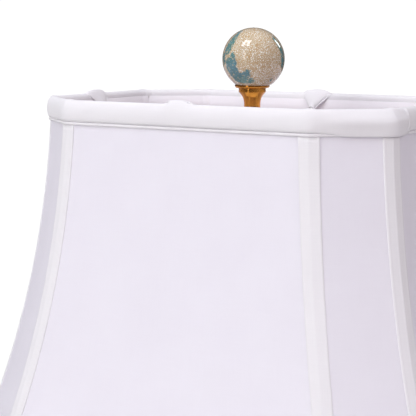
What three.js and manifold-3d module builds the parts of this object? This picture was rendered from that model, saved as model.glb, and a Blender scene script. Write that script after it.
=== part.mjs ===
// A porcelain table lamp with a cut-corner bell shade and a ball finial.
// Millimetres, +Z up, +X along the shade's long side. The origin is the centre of the foot's underside.
import * as THREE from "three";
import { mergeVertices } from "three/addons/utils/BufferGeometryUtils.js";
import Module from "manifold-3d";

const wasm = await Module();
wasm.setup();

// ---------------------------------------------------------------- clearances
const GAP = 0.3; // between pieces that touch
const RUNNING = 0.35; // round a shaft, sleeve or stud that turns or slides
const CUT_OVERRUN = 4; // how far a cutting tool runs past the wall it cuts

// ---------------------------------------------------------------- foot
const FELT_RADIUS = 66;
const FELT_THICKNESS = 2;
const FOOT_RADIUS = 70;
const FOOT_HEIGHT = 36;
const FOOT_SEAT_RADIUS = 57; // the rim that carries the vase
const FOOT_HOLLOW_RADIUS = 46;
const FOOT_DECK = 7; // plate that the rod is bolted to
const PLINTH_HEIGHT = 17; // the foot's straight lower band, which the cord's bushing goes through
const BUSHING_BORE_RADIUS = 4;
const BUSHING_WALL = 1.5;
const BUSHING_FLANGE = 1.8; // how far the flange stands past the sleeve
const BUSHING_FLANGE_THICKNESS = 2.2;

// ---------------------------------------------------------------- rod
const ROD_RADIUS = 5;
const ROD_BORE_RADIUS = 3.2;
const ROD_END = 4; // how far the rod shows past its bottom nut
const WASHER_RADIUS = 17;
const WASHER_THICKNESS = 2;
const NUT_RADIUS = 9.5;
const NUT_HEIGHT = 6;

// ---------------------------------------------------------------- vase
const VASE_HEIGHT = 330;
const VASE_FOOT_RADIUS = 52;
const VASE_WAIST_RADIUS = 50;
const VASE_BELLY_RADIUS = 95;
const VASE_NECK_RADIUS = 40;
const VASE_MOUTH_RADIUS = 43;
const VASE_WALL = 6;
const CAP_SKIRT = 7; // how far the brass cap reaches down round the mouth
const CAP_WALL = 2.5;
const CAP_HEIGHT = 13; // from the mouth's rim to the neck's seat
const CAP_SEAT_RADIUS = 16;
const NECK_HEIGHT = 36;
const NECK_FLANGE_RADIUS = 15;
const NECK_STEP_RADIUS = 12;
const NECK_WAIST_RADIUS = 8.5;

// ---------------------------------------------------------------- saddle, harp and its sleeves
const SADDLE_THICKNESS = 1.6;
const SADDLE_SIDE = 2.5; // metal left beside the rod's hole
const TONGUE_WIDTH = 5;
const TONGUE_HEIGHT = 12;
const HARP_LEG_X = 28;
const HARP_WIRE_RADIUS = 1.6;
const HARP_HEIGHT = 229; // saddle to spider seat, a nine inch harp
const HARP_HALF_WIDTH = 58;
const HARP_LEG_STRAIGHT = 32;
const SLEEVE_HEIGHT = 14;
const SLEEVE_WALL = 0.9;
const HARP_SEAT_RADIUS = 8.5;
const HARP_SEAT_HEIGHT = 8;
const STUD_RADIUS = 3.1;
const STUD_LENGTH = 13;

// ---------------------------------------------------------------- socket and bulb
const SOCKET_RADIUS = 16.4;
const SHELL_WALL = 0.8;
const SHELL_HEIGHT = 44;
const LINER_WALL = 0.8;
const SOCKET_CAP_HEIGHT = 20;
const SOCKET_CAP_WALL = 1;
const SOCKET_HUB_RADIUS = 8.5;
const SOCKET_HUB_HEIGHT = 6;
const SHELL_SEAT = 13; // height in the cap at which the shell starts
const CORE_HEIGHT = 18;
const SCREW_SHELL_WALL = 0.6;
const SHAFT_RADIUS = 2.2;
const SHAFT_DEPTH = 9; // how far the switch shaft reaches into the core
const KNOB_RADIUS = 7;
const KNOB_FLUTE = 0.7;
const KNOB_FLUTES = 10;
const KNOB_LENGTH = 13;
const KNOB_STANDOFF = 9; // from the shell to the knob
const BULB_RADIUS = 30;
const BULB_CAP_HEIGHT = 25;
const BULB_GLASS_HEIGHT = 82;
const BULB_GLASS_WALL = 1;

// ---------------------------------------------------------------- shade, measured on the fabric
const SHADE_HEIGHT = 280;
const TOP_HALF_LENGTH = 119; // along X
const TOP_HALF_DEPTH = 77.5; // along Y
const TOP_FLAT_LENGTH = 82.5; // half length of the front panel's top edge
const TOP_FLAT_DEPTH = 48.5; // half length of the side panel's top edge
const BOTTOM_HALF_LENGTH = 188;
const BOTTOM_HALF_DEPTH = 123;
const BOTTOM_FLAT_LENGTH = 136.5;
const BOTTOM_FLAT_DEPTH = 84.7;
const BELL_STRAIGHT = 0.158; // the share of the flare that is a straight slope
const BELL_POWER = 2.1; // the rest grows with this power of the depth
const PANEL_THICKNESS = 0.8;
const LINING_THICKNESS = 0.6;
const FRAME_RING_RADIUS = 1.5;
const RIB_RADIUS = 1.3;
const BAND_HEIGHT = 12.8;
const BAND_THICKNESS = 1.5;
const BAND_RETURN = 5; // how far a band reaches down inside the ring
const PIPING_HEIGHT = 2.7;
const TRIM_HALF_WIDTH = 6.5;
const TRIM_THICKNESS = 0.8;
const SPIDER_DROP = 13.5; // finial seat below the band's top
const SPIDER_WELD = 2; // how far an arm reaches into the washer
const SPIDER_WASHER_RADIUS = HARP_SEAT_RADIUS + SPIDER_WELD + 2.2;
const SPIDER_WASHER_THICKNESS = 2;
const SPIDER_ARM_RADIUS = 1.5;
const SPIDER_ARM_RISE = 8; // length over which an arm climbs to the ring's level
const SPIDER_ARM_REST = 11; // length at the ring's level, which the fabric tab wraps
const WRAP_LENGTH = 2.8;
const WRAP_END_RADIUS = 2.4;
const WRAP_RING_RADIUS = 5;

// ---------------------------------------------------------------- finial
const BALL_RADIUS = 19;
const BALL_SEAT_RADIUS = 10.4;
const FINIAL_COLLAR_RADIUS = 10.6;
const FINIAL_STEP_RADIUS = 8.3;
const FINIAL_WAIST_RADIUS = 5;
const FINIAL_BASE_RADIUS = 7;
const FINIAL_NECK_HEIGHT = 21.7;
const FINIAL_COLLAR_HEIGHT = 2;
const FINIAL_STEP_HEIGHT = 3;
const SPIGOT_RADIUS = 3;
const SPIGOT_HEIGHT = 14;

// ---------------------------------------------------------------- levels, from the table up
const FOOT_BOTTOM = FELT_THICKNESS + GAP;
const FOOT_TOP = FOOT_BOTTOM + FOOT_HEIGHT;
const VASE_BOTTOM = FOOT_TOP + GAP;
const VASE_TOP = VASE_BOTTOM + VASE_HEIGHT;
const CAP_TOP = VASE_TOP + GAP + CAP_HEIGHT;
const NECK_BOTTOM = CAP_TOP + GAP;
const NECK_TOP = NECK_BOTTOM + NECK_HEIGHT;
const SADDLE_BOTTOM = NECK_TOP + GAP;
const SADDLE_TOP = SADDLE_BOTTOM + SADDLE_THICKNESS;
const SOCKET_BOTTOM = SADDLE_TOP + GAP;
const SHELL_BOTTOM = SOCKET_BOTTOM + SHELL_SEAT;
const SHELL_TOP = SHELL_BOTTOM + SHELL_HEIGHT;
const CORE_BOTTOM = SHELL_BOTTOM + LINER_WALL + GAP;
const CORE_TOP = CORE_BOTTOM + CORE_HEIGHT;
const SWITCH_Z = CORE_BOTTOM + CORE_HEIGHT / 2;
const ROD_TOP = SOCKET_BOTTOM + SOCKET_HUB_HEIGHT;
const DECK_BOTTOM = FOOT_TOP - FOOT_DECK;
const ROD_BOTTOM = DECK_BOTTOM - GAP - WASHER_THICKNESS - GAP - NUT_HEIGHT - ROD_END;
const HARP_SEAT_Z = SADDLE_TOP + HARP_HEIGHT;
const SHADE_TOP = HARP_SEAT_Z + GAP + SPIDER_WASHER_THICKNESS + SPIDER_DROP;
const FINIAL_BOTTOM = SHADE_TOP - SPIDER_DROP + GAP;

// ---------------------------------------------------------------- materials
const colours = {
  brass: { color: 0xa8742a, roughness: 0.28, metalness: 1 },
  steel: { color: 0xb9bcc0, roughness: 0.4, metalness: 1 },
  frame_wire: { color: 0xe4e2e0, roughness: 0.5, metalness: 0.4 },
  porcelain: { color: 0xd8ccb0, roughness: 0.12, metalness: 0 },
  silk: { color: 0xf1eef3, roughness: 0.75, metalness: 0 },
  lining: { color: 0xf3f0f6, roughness: 0.8, metalness: 0 },
  trim: { color: 0xf4f1f3, roughness: 0.7, metalness: 0 },
  felt: { color: 0x3b4a3c, roughness: 1, metalness: 0 },
  phenolic: { color: 0x241d19, roughness: 0.35, metalness: 0 },
  fibre: { color: 0xc9b48c, roughness: 0.9, metalness: 0 },
  aluminium: { color: 0xc9cacc, roughness: 0.35, metalness: 1 },
  glass: { color: 0xf6f4ee, roughness: 0.3, metalness: 0 },
};

const lamp = new THREE.Group();

function add(name, geometry, colour) {
  const mesh = new THREE.Mesh(geometry, new THREE.MeshStandardMaterial(colours[colour]));
  mesh.name = name;
  lamp.add(mesh);
  return mesh;
}

// ---------------------------------------------------------------- solids
function solidOf(geometry) {
  const bare = geometry.clone();
  bare.deleteAttribute("normal");
  bare.deleteAttribute("uv");
  const merged = mergeVertices(bare, 1e-3);
  return new wasm.Manifold(
    new wasm.Mesh({
      numProp: 3,
      vertProperties: merged.attributes.position.array,
      triVerts: new Uint32Array(merged.index.array),
    }),
  );
}

function geometryOf(solid) {
  const { numProp, numVert, vertProperties, triVerts } = solid.getMesh();
  const positions = new Float32Array(numVert * 3);
  for (let i = 0; i < numVert; i++) {
    positions.set(vertProperties.subarray(i * numProp, i * numProp + 3), i * 3);
  }
  const geometry = new THREE.BufferGeometry();
  geometry.setAttribute("position", new THREE.BufferAttribute(positions, 3));
  geometry.setIndex(new THREE.BufferAttribute(triVerts, 1));
  return geometry;
}

const cut = (geometry, ...tools) =>
  geometryOf(tools.reduce((left, tool) => left.subtract(solidOf(tool)), solidOf(geometry)));

// A cylinder along Z, from one level to another.
function postZ(radius, bottom, top, sides = 24) {
  return new THREE.CylinderGeometry(radius, radius, top - bottom, sides)
    .rotateX(Math.PI / 2)
    .translate(0, 0, (top + bottom) / 2);
}

// A cylinder along Y at a height, from one y to another.
function postY(radius, from, to, height, sides = 24) {
  return new THREE.CylinderGeometry(radius, radius, Math.abs(to - from), sides)
    .translate(0, (to + from) / 2, 0)
    .translate(0, 0, height);
}

// A turned piece. The outline holds [radius, height] pairs, anticlockwise seen with the axis on the left.
function turned(outline, sides = 36) {
  const points = outline.map(([radius, height]) => new THREE.Vector2(radius, height));
  const onAxis = points[0].x === 0 && points.at(-1).x === 0;
  if (!onAxis) points.push(points[0].clone());
  return new THREE.LatheGeometry(points, sides).rotateX(Math.PI / 2);
}

// Points on a smooth line through [radius, height] pairs.
function smooth(pairs, count) {
  const line = new THREE.SplineCurve(pairs.map(([radius, height]) => new THREE.Vector2(radius, height)));
  return line.getPoints(count).map((p) => [p.x, p.y]);
}

function tube(curve, radius, steps, sides) {
  const section = new THREE.Shape();
  for (let i = 0; i < sides; i++) {
    const angle = (2 * Math.PI * i) / sides;
    const [x, y] = [radius * Math.cos(angle), radius * Math.sin(angle)];
    if (i === 0) section.moveTo(x, y);
    else section.lineTo(x, y);
  }
  section.closePath();
  return new THREE.ExtrudeGeometry(section, { extrudePath: curve, steps, curveSegments: 1 });
}

// A closed solid between two grids of points, each [row][column]. A loop's columns join end to end.
function sheet(outer, inner, loop) {
  const [rows, columns] = [outer.length, outer[0].length];
  const at = (side, row, column) => side * rows * columns + row * columns + (column % columns);
  const index = [];
  const quad = (a, b, c, d) => index.push(a, b, c, a, c, d);
  const spans = loop ? columns : columns - 1;
  for (let column = 0; column < spans; column++) {
    for (let row = 0; row < rows - 1; row++) {
      quad(at(0, row, column), at(0, row + 1, column), at(0, row + 1, column + 1), at(0, row, column + 1));
      quad(at(1, row, column), at(1, row, column + 1), at(1, row + 1, column + 1), at(1, row + 1, column));
    }
    quad(at(0, 0, column), at(0, 0, column + 1), at(1, 0, column + 1), at(1, 0, column));
    quad(at(0, rows - 1, column), at(1, rows - 1, column), at(1, rows - 1, column + 1), at(0, rows - 1, column + 1));
  }
  if (!loop) {
    for (let row = 0; row < rows - 1; row++) {
      quad(at(0, row, 0), at(1, row, 0), at(1, row + 1, 0), at(0, row + 1, 0));
      const last = columns - 1;
      quad(at(0, row, last), at(0, row + 1, last), at(1, row + 1, last), at(1, row, last));
    }
  }
  return gridGeometry([...outer.flat(), ...inner.flat()], index);
}

// A wire bent into a closed outline: sections round each corner, joined both ways.
function wireLoop(cornersAt, radius, sides) {
  const rings = [];
  for (let i = 0; i < sides; i++) {
    const angle = (2 * Math.PI * i) / sides;
    rings.push(cornersAt(radius * Math.cos(angle), radius * Math.sin(angle)));
  }
  const columns = rings[0].length;
  const at = (ring, column) => (ring % sides) * columns + (column % columns);
  const index = [];
  for (let ring = 0; ring < sides; ring++) {
    for (let column = 0; column < columns; column++) {
      index.push(at(ring, column), at(ring, column + 1), at(ring + 1, column + 1));
      index.push(at(ring, column), at(ring + 1, column + 1), at(ring + 1, column));
    }
  }
  return gridGeometry(rings.flat(), index);
}

function gridGeometry(points, index) {
  const geometry = new THREE.BufferGeometry().setFromPoints(points);
  geometry.setIndex(index);
  return geometry;
}

// ---------------------------------------------------------------- foot, felt, rod and bushing
function addFoot() {
  const sleeve = BUSHING_BORE_RADIUS + BUSHING_WALL;
  const flange = sleeve + BUSHING_FLANGE;
  const bushingZ = FOOT_BOTTOM + PLINTH_HEIGHT / 2;
  const seatY = Math.sqrt(FOOT_RADIUS ** 2 - (flange + GAP) ** 2) - GAP; // a flat for the flange
  const z = (height) => FOOT_BOTTOM + height;
  add("felt_pad", postZ(FELT_RADIUS, 0, FELT_THICKNESS, 32), "felt");

  const ogee = smooth(
    [
      [FOOT_RADIUS - 3.5, z(PLINTH_HEIGHT + 1.5)],
      [FOOT_SEAT_RADIUS + 6, z(PLINTH_HEIGHT + 3.5)],
      [FOOT_SEAT_RADIUS, z(FOOT_HEIGHT - 9)],
    ],
    5,
  );
  const foot = turned(
    [
      [FOOT_HOLLOW_RADIUS, z(0)],
      [FOOT_RADIUS - 1, z(0)],
      [FOOT_RADIUS, z(1)],
      [FOOT_RADIUS, z(PLINTH_HEIGHT)],
      [FOOT_RADIUS - 1.5, z(PLINTH_HEIGHT + 1.5)],
      ...ogee,
      [FOOT_SEAT_RADIUS + 3.5, z(FOOT_HEIGHT - 7)],
      [FOOT_SEAT_RADIUS + 4, z(FOOT_HEIGHT - 4.5)],
      [FOOT_SEAT_RADIUS + 3.5, z(FOOT_HEIGHT - 2)],
      [FOOT_SEAT_RADIUS, z(FOOT_HEIGHT)],
      [ROD_RADIUS + RUNNING, z(FOOT_HEIGHT)],
      [ROD_RADIUS + RUNNING, DECK_BOTTOM],
      [FOOT_HOLLOW_RADIUS, DECK_BOTTOM],
    ],
    28,
  );
  const outside = FOOT_RADIUS + CUT_OVERRUN;
  const hole = postY(sleeve + GAP, FOOT_HOLLOW_RADIUS - 2 * CUT_OVERRUN, outside, bushingZ, 16);
  const spotFace = postY(flange + GAP, seatY, outside, bushingZ, 16);
  add("foot", cut(foot, hole, spotFace), "brass");

  const inner = FOOT_HOLLOW_RADIUS - GAP;
  const bushing = turned(
    [
      [BUSHING_BORE_RADIUS, inner],
      [sleeve, inner],
      [sleeve, seatY + GAP],
      [flange, seatY + GAP],
      [flange, seatY + GAP + BUSHING_FLANGE_THICKNESS],
      [BUSHING_BORE_RADIUS, seatY + GAP + BUSHING_FLANGE_THICKNESS],
    ],
    16,
  )
    .rotateX(-Math.PI / 2)
    .translate(0, 0, bushingZ);
  add("cord_bushing", bushing, "phenolic");
}

function addRod() {
  const bore = ROD_RADIUS + RUNNING;
  const washerTop = DECK_BOTTOM - GAP;
  const nutTop = washerTop - WASHER_THICKNESS - GAP;
  const tubeOf = (inner, outer, bottom, top, sides) =>
    turned([[inner, bottom], [outer, bottom], [outer, top], [inner, top]], sides);
  add("threaded_rod", tubeOf(ROD_BORE_RADIUS, ROD_RADIUS, ROD_BOTTOM, ROD_TOP, 16), "steel");
  add("rod_washer", tubeOf(bore, WASHER_RADIUS, washerTop - WASHER_THICKNESS, washerTop, 24), "steel");
  const nut = postZ(NUT_RADIUS, nutTop - NUT_HEIGHT, nutTop, 6);
  add("rod_nut", cut(nut, postZ(bore, nutTop - 2 * NUT_HEIGHT, nutTop + NUT_HEIGHT, 16)), "steel");
}

// ---------------------------------------------------------------- vase, cap and neck
function addVase() {
  const z = (height) => VASE_BOTTOM + height;
  const outside = smooth(
    [
      [VASE_FOOT_RADIUS, z(0)],
      [VASE_FOOT_RADIUS, z(8)],
      [VASE_WAIST_RADIUS, z(30)],
      [VASE_WAIST_RADIUS + 6, z(75)],
      [VASE_BELLY_RADIUS - 15, z(VASE_HEIGHT - 175)],
      [VASE_BELLY_RADIUS, z(VASE_HEIGHT - 98)],
      [VASE_BELLY_RADIUS - 9, z(VASE_HEIGHT - 52)],
      [VASE_NECK_RADIUS + 16, z(VASE_HEIGHT - 26)],
      [VASE_NECK_RADIUS, z(VASE_HEIGHT - 12)],
      [VASE_MOUTH_RADIUS, z(VASE_HEIGHT)],
    ],
    20,
  );
  const inside = smooth(
    [
      [VASE_MOUTH_RADIUS - VASE_WALL, z(VASE_HEIGHT)],
      [VASE_NECK_RADIUS - VASE_WALL, z(VASE_HEIGHT - 13)],
      [VASE_BELLY_RADIUS - 9 - VASE_WALL, z(VASE_HEIGHT - 60)],
      [VASE_BELLY_RADIUS - VASE_WALL, z(VASE_HEIGHT - 98)],
      [VASE_BELLY_RADIUS - 17 - VASE_WALL, z(VASE_HEIGHT - 175)],
      [VASE_WAIST_RADIUS - VASE_WALL, z(50)],
      [VASE_WAIST_RADIUS - 2 * VASE_WALL, z(2 * VASE_WALL)],
    ],
    9,
  );
  const hole = ROD_RADIUS + 4 * RUNNING;
  const floor = [[hole, z(2 * VASE_WALL)], [hole, z(0)]];
  add("vase", turned([...floor, ...outside, ...inside], 28), "porcelain");

  const grip = VASE_MOUTH_RADIUS + GAP;
  const bore = ROD_RADIUS + RUNNING;
  const cap = [
    [bore, VASE_TOP + GAP],
    [grip, VASE_TOP + GAP],
    [grip, VASE_TOP - CAP_SKIRT],
    [grip + CAP_WALL, VASE_TOP - CAP_SKIRT],
    [grip + CAP_WALL + 1, VASE_TOP - CAP_SKIRT + 2],
    [grip + CAP_WALL, VASE_TOP + 1],
    ...smooth(
      [
        [grip - 1, VASE_TOP + 3.5],
        [grip - 12, CAP_TOP - 4.5],
        [CAP_SEAT_RADIUS + 3, CAP_TOP - 2.5],
      ],
      4,
    ),
    [CAP_SEAT_RADIUS + 1, CAP_TOP - 2],
    [CAP_SEAT_RADIUS, CAP_TOP],
    [bore, CAP_TOP],
  ];
  add("vase_cap", turned(cap, 28), "brass");

  const up = (height) => NECK_BOTTOM + height;
  const neck = [
    [bore, up(0)],
    [NECK_FLANGE_RADIUS, up(0)],
    [NECK_FLANGE_RADIUS, up(2.5)],
    [NECK_STEP_RADIUS, up(3.5)],
    [NECK_STEP_RADIUS, up(6.5)],
    ...smooth(
      [
        [NECK_STEP_RADIUS - 1, up(7.5)],
        [NECK_WAIST_RADIUS, up(NECK_HEIGHT / 2)],
        [NECK_STEP_RADIUS - 1, up(NECK_HEIGHT - 7.5)],
      ],
      6,
    ),
    [NECK_STEP_RADIUS, up(NECK_HEIGHT - 6.5)],
    [NECK_STEP_RADIUS, up(NECK_HEIGHT - 3.5)],
    [NECK_FLANGE_RADIUS, up(NECK_HEIGHT - 2.5)],
    [NECK_FLANGE_RADIUS, up(NECK_HEIGHT)],
    [bore, up(NECK_HEIGHT)],
  ];
  add("neck_spool", turned(neck, 20), "brass");
}

// ---------------------------------------------------------------- saddle, harp, sleeves
// The saddle's tongue stands just inside the harp's leg, and the sleeve goes round both.
const TONGUE_OUTSIDE = HARP_LEG_X - HARP_WIRE_RADIUS - 2 * GAP;
const TONGUE_INSIDE = TONGUE_OUTSIDE - SADDLE_THICKNESS;
const SLEEVE_X = (TONGUE_INSIDE + HARP_LEG_X + HARP_WIRE_RADIUS) / 2;
const SLEEVE_BORE =
  Math.hypot(SLEEVE_X - TONGUE_INSIDE, Math.max(TONGUE_WIDTH / 2, HARP_WIRE_RADIUS)) + RUNNING;

function addSaddle() {
  const width = 2 * (ROD_RADIUS + RUNNING + SADDLE_SIDE);
  const shoulder = SLEEVE_X + SLEEVE_BORE + SLEEVE_WALL;
  const profile = new THREE.Shape();
  profile.moveTo(-shoulder, 0);
  profile.lineTo(shoulder, 0);
  profile.lineTo(shoulder, SADDLE_THICKNESS);
  profile.lineTo(-shoulder, SADDLE_THICKNESS);
  const plate = new THREE.ExtrudeGeometry(profile, { depth: width, bevelEnabled: false })
    .rotateX(Math.PI / 2)
    .translate(0, width / 2, SADDLE_BOTTOM);
  const tongue = (side) =>
    new THREE.BoxGeometry(SADDLE_THICKNESS, TONGUE_WIDTH, TONGUE_HEIGHT + SADDLE_THICKNESS / 2).translate(
      side * (TONGUE_INSIDE + SADDLE_THICKNESS / 2),
      0,
      SADDLE_TOP - SADDLE_THICKNESS / 2 + (TONGUE_HEIGHT + SADDLE_THICKNESS / 2) / 2,
    );
  const joined = solidOf(plate).add(solidOf(tongue(-1))).add(solidOf(tongue(1)));
  const hole = postZ(ROD_RADIUS + RUNNING, SADDLE_BOTTOM - CUT_OVERRUN, SADDLE_TOP + CUT_OVERRUN, 16);
  add("harp_saddle", geometryOf(joined.subtract(solidOf(hole))), "brass");
}

function addHarp() {
  const wireZ = HARP_SEAT_Z - HARP_SEAT_HEIGHT / 2;
  const foot = SADDLE_TOP + GAP;
  const half = [
    [HARP_LEG_X, foot],
    [HARP_LEG_X, foot + HARP_LEG_STRAIGHT / 2],
    [HARP_LEG_X, foot + HARP_LEG_STRAIGHT],
    [(HARP_LEG_X + HARP_HALF_WIDTH) / 2, foot + HARP_LEG_STRAIGHT + 34],
    [HARP_HALF_WIDTH, SADDLE_TOP + 0.56 * HARP_HEIGHT],
    [HARP_HALF_WIDTH - 7, wireZ - 48],
    [HARP_HALF_WIDTH - 32, wireZ - 12],
    [HARP_SEAT_RADIUS + 4, wireZ - 1.5],
  ];
  const right = half.map(([x, z]) => new THREE.Vector3(x, 0, z));
  const left = half.map(([x, z]) => new THREE.Vector3(-x, 0, z)).reverse();
  const curve = new THREE.CatmullRomCurve3([...right, new THREE.Vector3(0, 0, wireZ), ...left]);
  add("harp_wire", tube(curve, HARP_WIRE_RADIUS, 44, 6), "brass");

  const seat = turned(
    [
      [0, HARP_SEAT_Z - HARP_SEAT_HEIGHT],
      [HARP_SEAT_RADIUS - 2, HARP_SEAT_Z - HARP_SEAT_HEIGHT],
      [HARP_SEAT_RADIUS - 1.5, HARP_SEAT_Z - 1.8],
      [HARP_SEAT_RADIUS, HARP_SEAT_Z - 1.5],
      [HARP_SEAT_RADIUS, HARP_SEAT_Z],
      [STUD_RADIUS, HARP_SEAT_Z],
      [STUD_RADIUS, HARP_SEAT_Z + STUD_LENGTH - 0.8],
      [STUD_RADIUS - 0.8, HARP_SEAT_Z + STUD_LENGTH],
      [0, HARP_SEAT_Z + STUD_LENGTH],
    ],
    24,
  );
  // The hub is slotted from below for the wire.
  const slotTop = wireZ + HARP_WIRE_RADIUS + RUNNING;
  const slotBottom = HARP_SEAT_Z - HARP_SEAT_HEIGHT - CUT_OVERRUN;
  const slot = new THREE.BoxGeometry(
    4 * HARP_SEAT_RADIUS,
    2 * (HARP_WIRE_RADIUS + RUNNING),
    slotTop - slotBottom,
  ).translate(0, 0, (slotTop + slotBottom) / 2);
  add("harp_top", cut(seat, slot), "brass");

  for (const [name, side] of [["sleeve_left", -1], ["sleeve_right", 1]]) {
    const bottom = SADDLE_TOP + GAP;
    const sleeve = turned(
      [
        [SLEEVE_BORE, bottom],
        [SLEEVE_BORE + SLEEVE_WALL, bottom],
        [SLEEVE_BORE + SLEEVE_WALL, bottom + SLEEVE_HEIGHT],
        [SLEEVE_BORE, bottom + SLEEVE_HEIGHT],
      ],
      20,
    ).translate(side * SLEEVE_X, 0, 0);
    add(name, sleeve, "brass");
  }
}

// ---------------------------------------------------------------- socket, switch and bulb
const LINER_RADIUS = SOCKET_RADIUS - SHELL_WALL - GAP;
const CORE_RADIUS = LINER_RADIUS - LINER_WALL - GAP;
const BULB_CAP_RADIUS = CORE_RADIUS - SCREW_SHELL_WALL - 2 * RUNNING;

function addSocket() {
  const z = (height) => SOCKET_BOTTOM + height;
  const bore = ROD_RADIUS + RUNNING;
  const lip = SOCKET_RADIUS + GAP;
  const wall = SOCKET_CAP_WALL;
  const cap = [
    [bore, z(0)],
    [SOCKET_HUB_RADIUS, z(0)],
    [SOCKET_HUB_RADIUS, z(2)],
    [SOCKET_HUB_RADIUS + 4, z(4)],
    [lip + wall - 1.5, z(SHELL_SEAT - 3)],
    [lip + wall, z(SHELL_SEAT)],
    [lip + wall, z(SOCKET_CAP_HEIGHT - 1.5)],
    [lip + wall + 0.6, z(SOCKET_CAP_HEIGHT - 0.8)],
    [lip + wall, z(SOCKET_CAP_HEIGHT)],
    [lip, z(SOCKET_CAP_HEIGHT)],
    [lip, z(SHELL_SEAT - 1)],
    [SOCKET_HUB_RADIUS + 2, z(SOCKET_HUB_HEIGHT)],
    [bore, z(SOCKET_HUB_HEIGHT)],
  ];
  const shaftHole = (radius) => postY(radius, -SHAFT_DEPTH, -2 * SOCKET_RADIUS, SWITCH_Z, 16);
  add("socket_cap", cut(turned(cap, 28), shaftHole(SHAFT_RADIUS + 3 * RUNNING)), "brass");

  const shell = [
    [SOCKET_RADIUS - SHELL_WALL, SHELL_BOTTOM],
    [SOCKET_RADIUS, SHELL_BOTTOM],
    [SOCKET_RADIUS, SHELL_TOP - 3],
    [SOCKET_RADIUS + 0.9, SHELL_TOP - 2],
    [SOCKET_RADIUS + 0.9, SHELL_TOP - 0.6],
    [SOCKET_RADIUS, SHELL_TOP],
    [SOCKET_RADIUS - SHELL_WALL, SHELL_TOP],
  ];
  add("socket_shell", cut(turned(shell, 28), shaftHole(SHAFT_RADIUS + 2 * RUNNING)), "brass");

  const liner = [
    [LINER_RADIUS - LINER_WALL, SHELL_BOTTOM],
    [LINER_RADIUS, SHELL_BOTTOM],
    [LINER_RADIUS, SHELL_TOP - 1],
    [LINER_RADIUS - LINER_WALL, SHELL_TOP - 1],
  ];
  add("shell_liner", cut(turned(liner, 24), shaftHole(SHAFT_RADIUS + 2 * RUNNING)), "fibre");
  const core = postZ(CORE_RADIUS, CORE_BOTTOM, CORE_TOP, 24);
  add("socket_core", cut(core, shaftHole(SHAFT_RADIUS + RUNNING)), "phenolic");

  const screwShell = [
    [CORE_RADIUS - SCREW_SHELL_WALL, CORE_TOP + GAP],
    [CORE_RADIUS, CORE_TOP + GAP],
    [CORE_RADIUS, SHELL_TOP - 2],
    [CORE_RADIUS - SCREW_SHELL_WALL, SHELL_TOP - 2],
  ];
  add("screw_shell", turned(screwShell, 24), "aluminium");
}

function addSwitch() {
  const knobStart = SOCKET_RADIUS + KNOB_STANDOFF;
  const shaftEnd = knobStart + KNOB_LENGTH - 4;
  const shaft = postY(SHAFT_RADIUS, -SHAFT_DEPTH - RUNNING, -shaftEnd, SWITCH_Z, 16);
  add("switch_shaft", shaft, "brass");
  const flutes = new THREE.Shape();
  const pointsPerFlute = 4;
  const count = KNOB_FLUTES * pointsPerFlute;
  for (let i = 0; i < count; i++) {
    const angle = (2 * Math.PI * i) / count;
    const radius = KNOB_RADIUS - KNOB_FLUTE / 2 + (KNOB_FLUTE / 2) * Math.cos(KNOB_FLUTES * angle);
    const [x, y] = [radius * Math.cos(angle), radius * Math.sin(angle)];
    if (i === 0) flutes.moveTo(x, y);
    else flutes.lineTo(x, y);
  }
  flutes.closePath();
  const knob = new THREE.ExtrudeGeometry(flutes, {
    depth: KNOB_LENGTH - 2,
    bevelThickness: 1,
    bevelSize: 0.6,
    bevelOffset: -0.6,
    bevelSegments: 1,
    curveSegments: 1,
  })
    .rotateX(Math.PI / 2)
    .translate(0, -knobStart - 1, SWITCH_Z);
  const bore = postY(SHAFT_RADIUS + GAP, -knobStart + CUT_OVERRUN, -shaftEnd - GAP, SWITCH_Z, 16);
  add("switch_knob", cut(knob, bore), "phenolic");
}

function addBulb() {
  const bottom = CORE_TOP + 2 * GAP;
  const cap = turned(
    [
      [0, bottom],
      [4.5, bottom],
      [5, bottom + 1.5],
      [BULB_CAP_RADIUS - 3, bottom + 3],
      [BULB_CAP_RADIUS, bottom + 5.5],
      [BULB_CAP_RADIUS, bottom + BULB_CAP_HEIGHT],
      [0, bottom + BULB_CAP_HEIGHT],
    ],
    24,
  );
  add("bulb_screw_cap", cap, "aluminium");
  const z = (height) => bottom + BULB_CAP_HEIGHT + GAP + height;
  const neck = BULB_CAP_RADIUS - 0.4;
  const crown = BULB_GLASS_HEIGHT - BULB_RADIUS;
  const envelope = (inset) => {
    const shoulder = smooth(
      [
        [neck - inset, z(0)],
        [neck + 1.5 - inset, z(10)],
        [BULB_RADIUS - 3.5 - inset, z(crown - 13)],
      ],
      5,
    );
    const dome = [];
    const domeSteps = 7;
    for (let i = 0; i <= domeSteps; i++) {
      const angle = (Math.PI / 2) * (i / domeSteps);
      dome.push([(BULB_RADIUS - inset) * Math.cos(angle), z(crown) + (BULB_RADIUS - inset) * Math.sin(angle)]);
    }
    dome[domeSteps][0] = 0;
    return [...shoulder, ...dome];
  };
  const outside = envelope(0);
  const inside = envelope(BULB_GLASS_WALL).reverse();
  const glass = new THREE.LatheGeometry(
    [...inside, ...outside].map(([r, height]) => new THREE.Vector2(r, height)),
    20,
  ).rotateX(Math.PI / 2);
  add("bulb_glass", glass, "glass");
}

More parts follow.
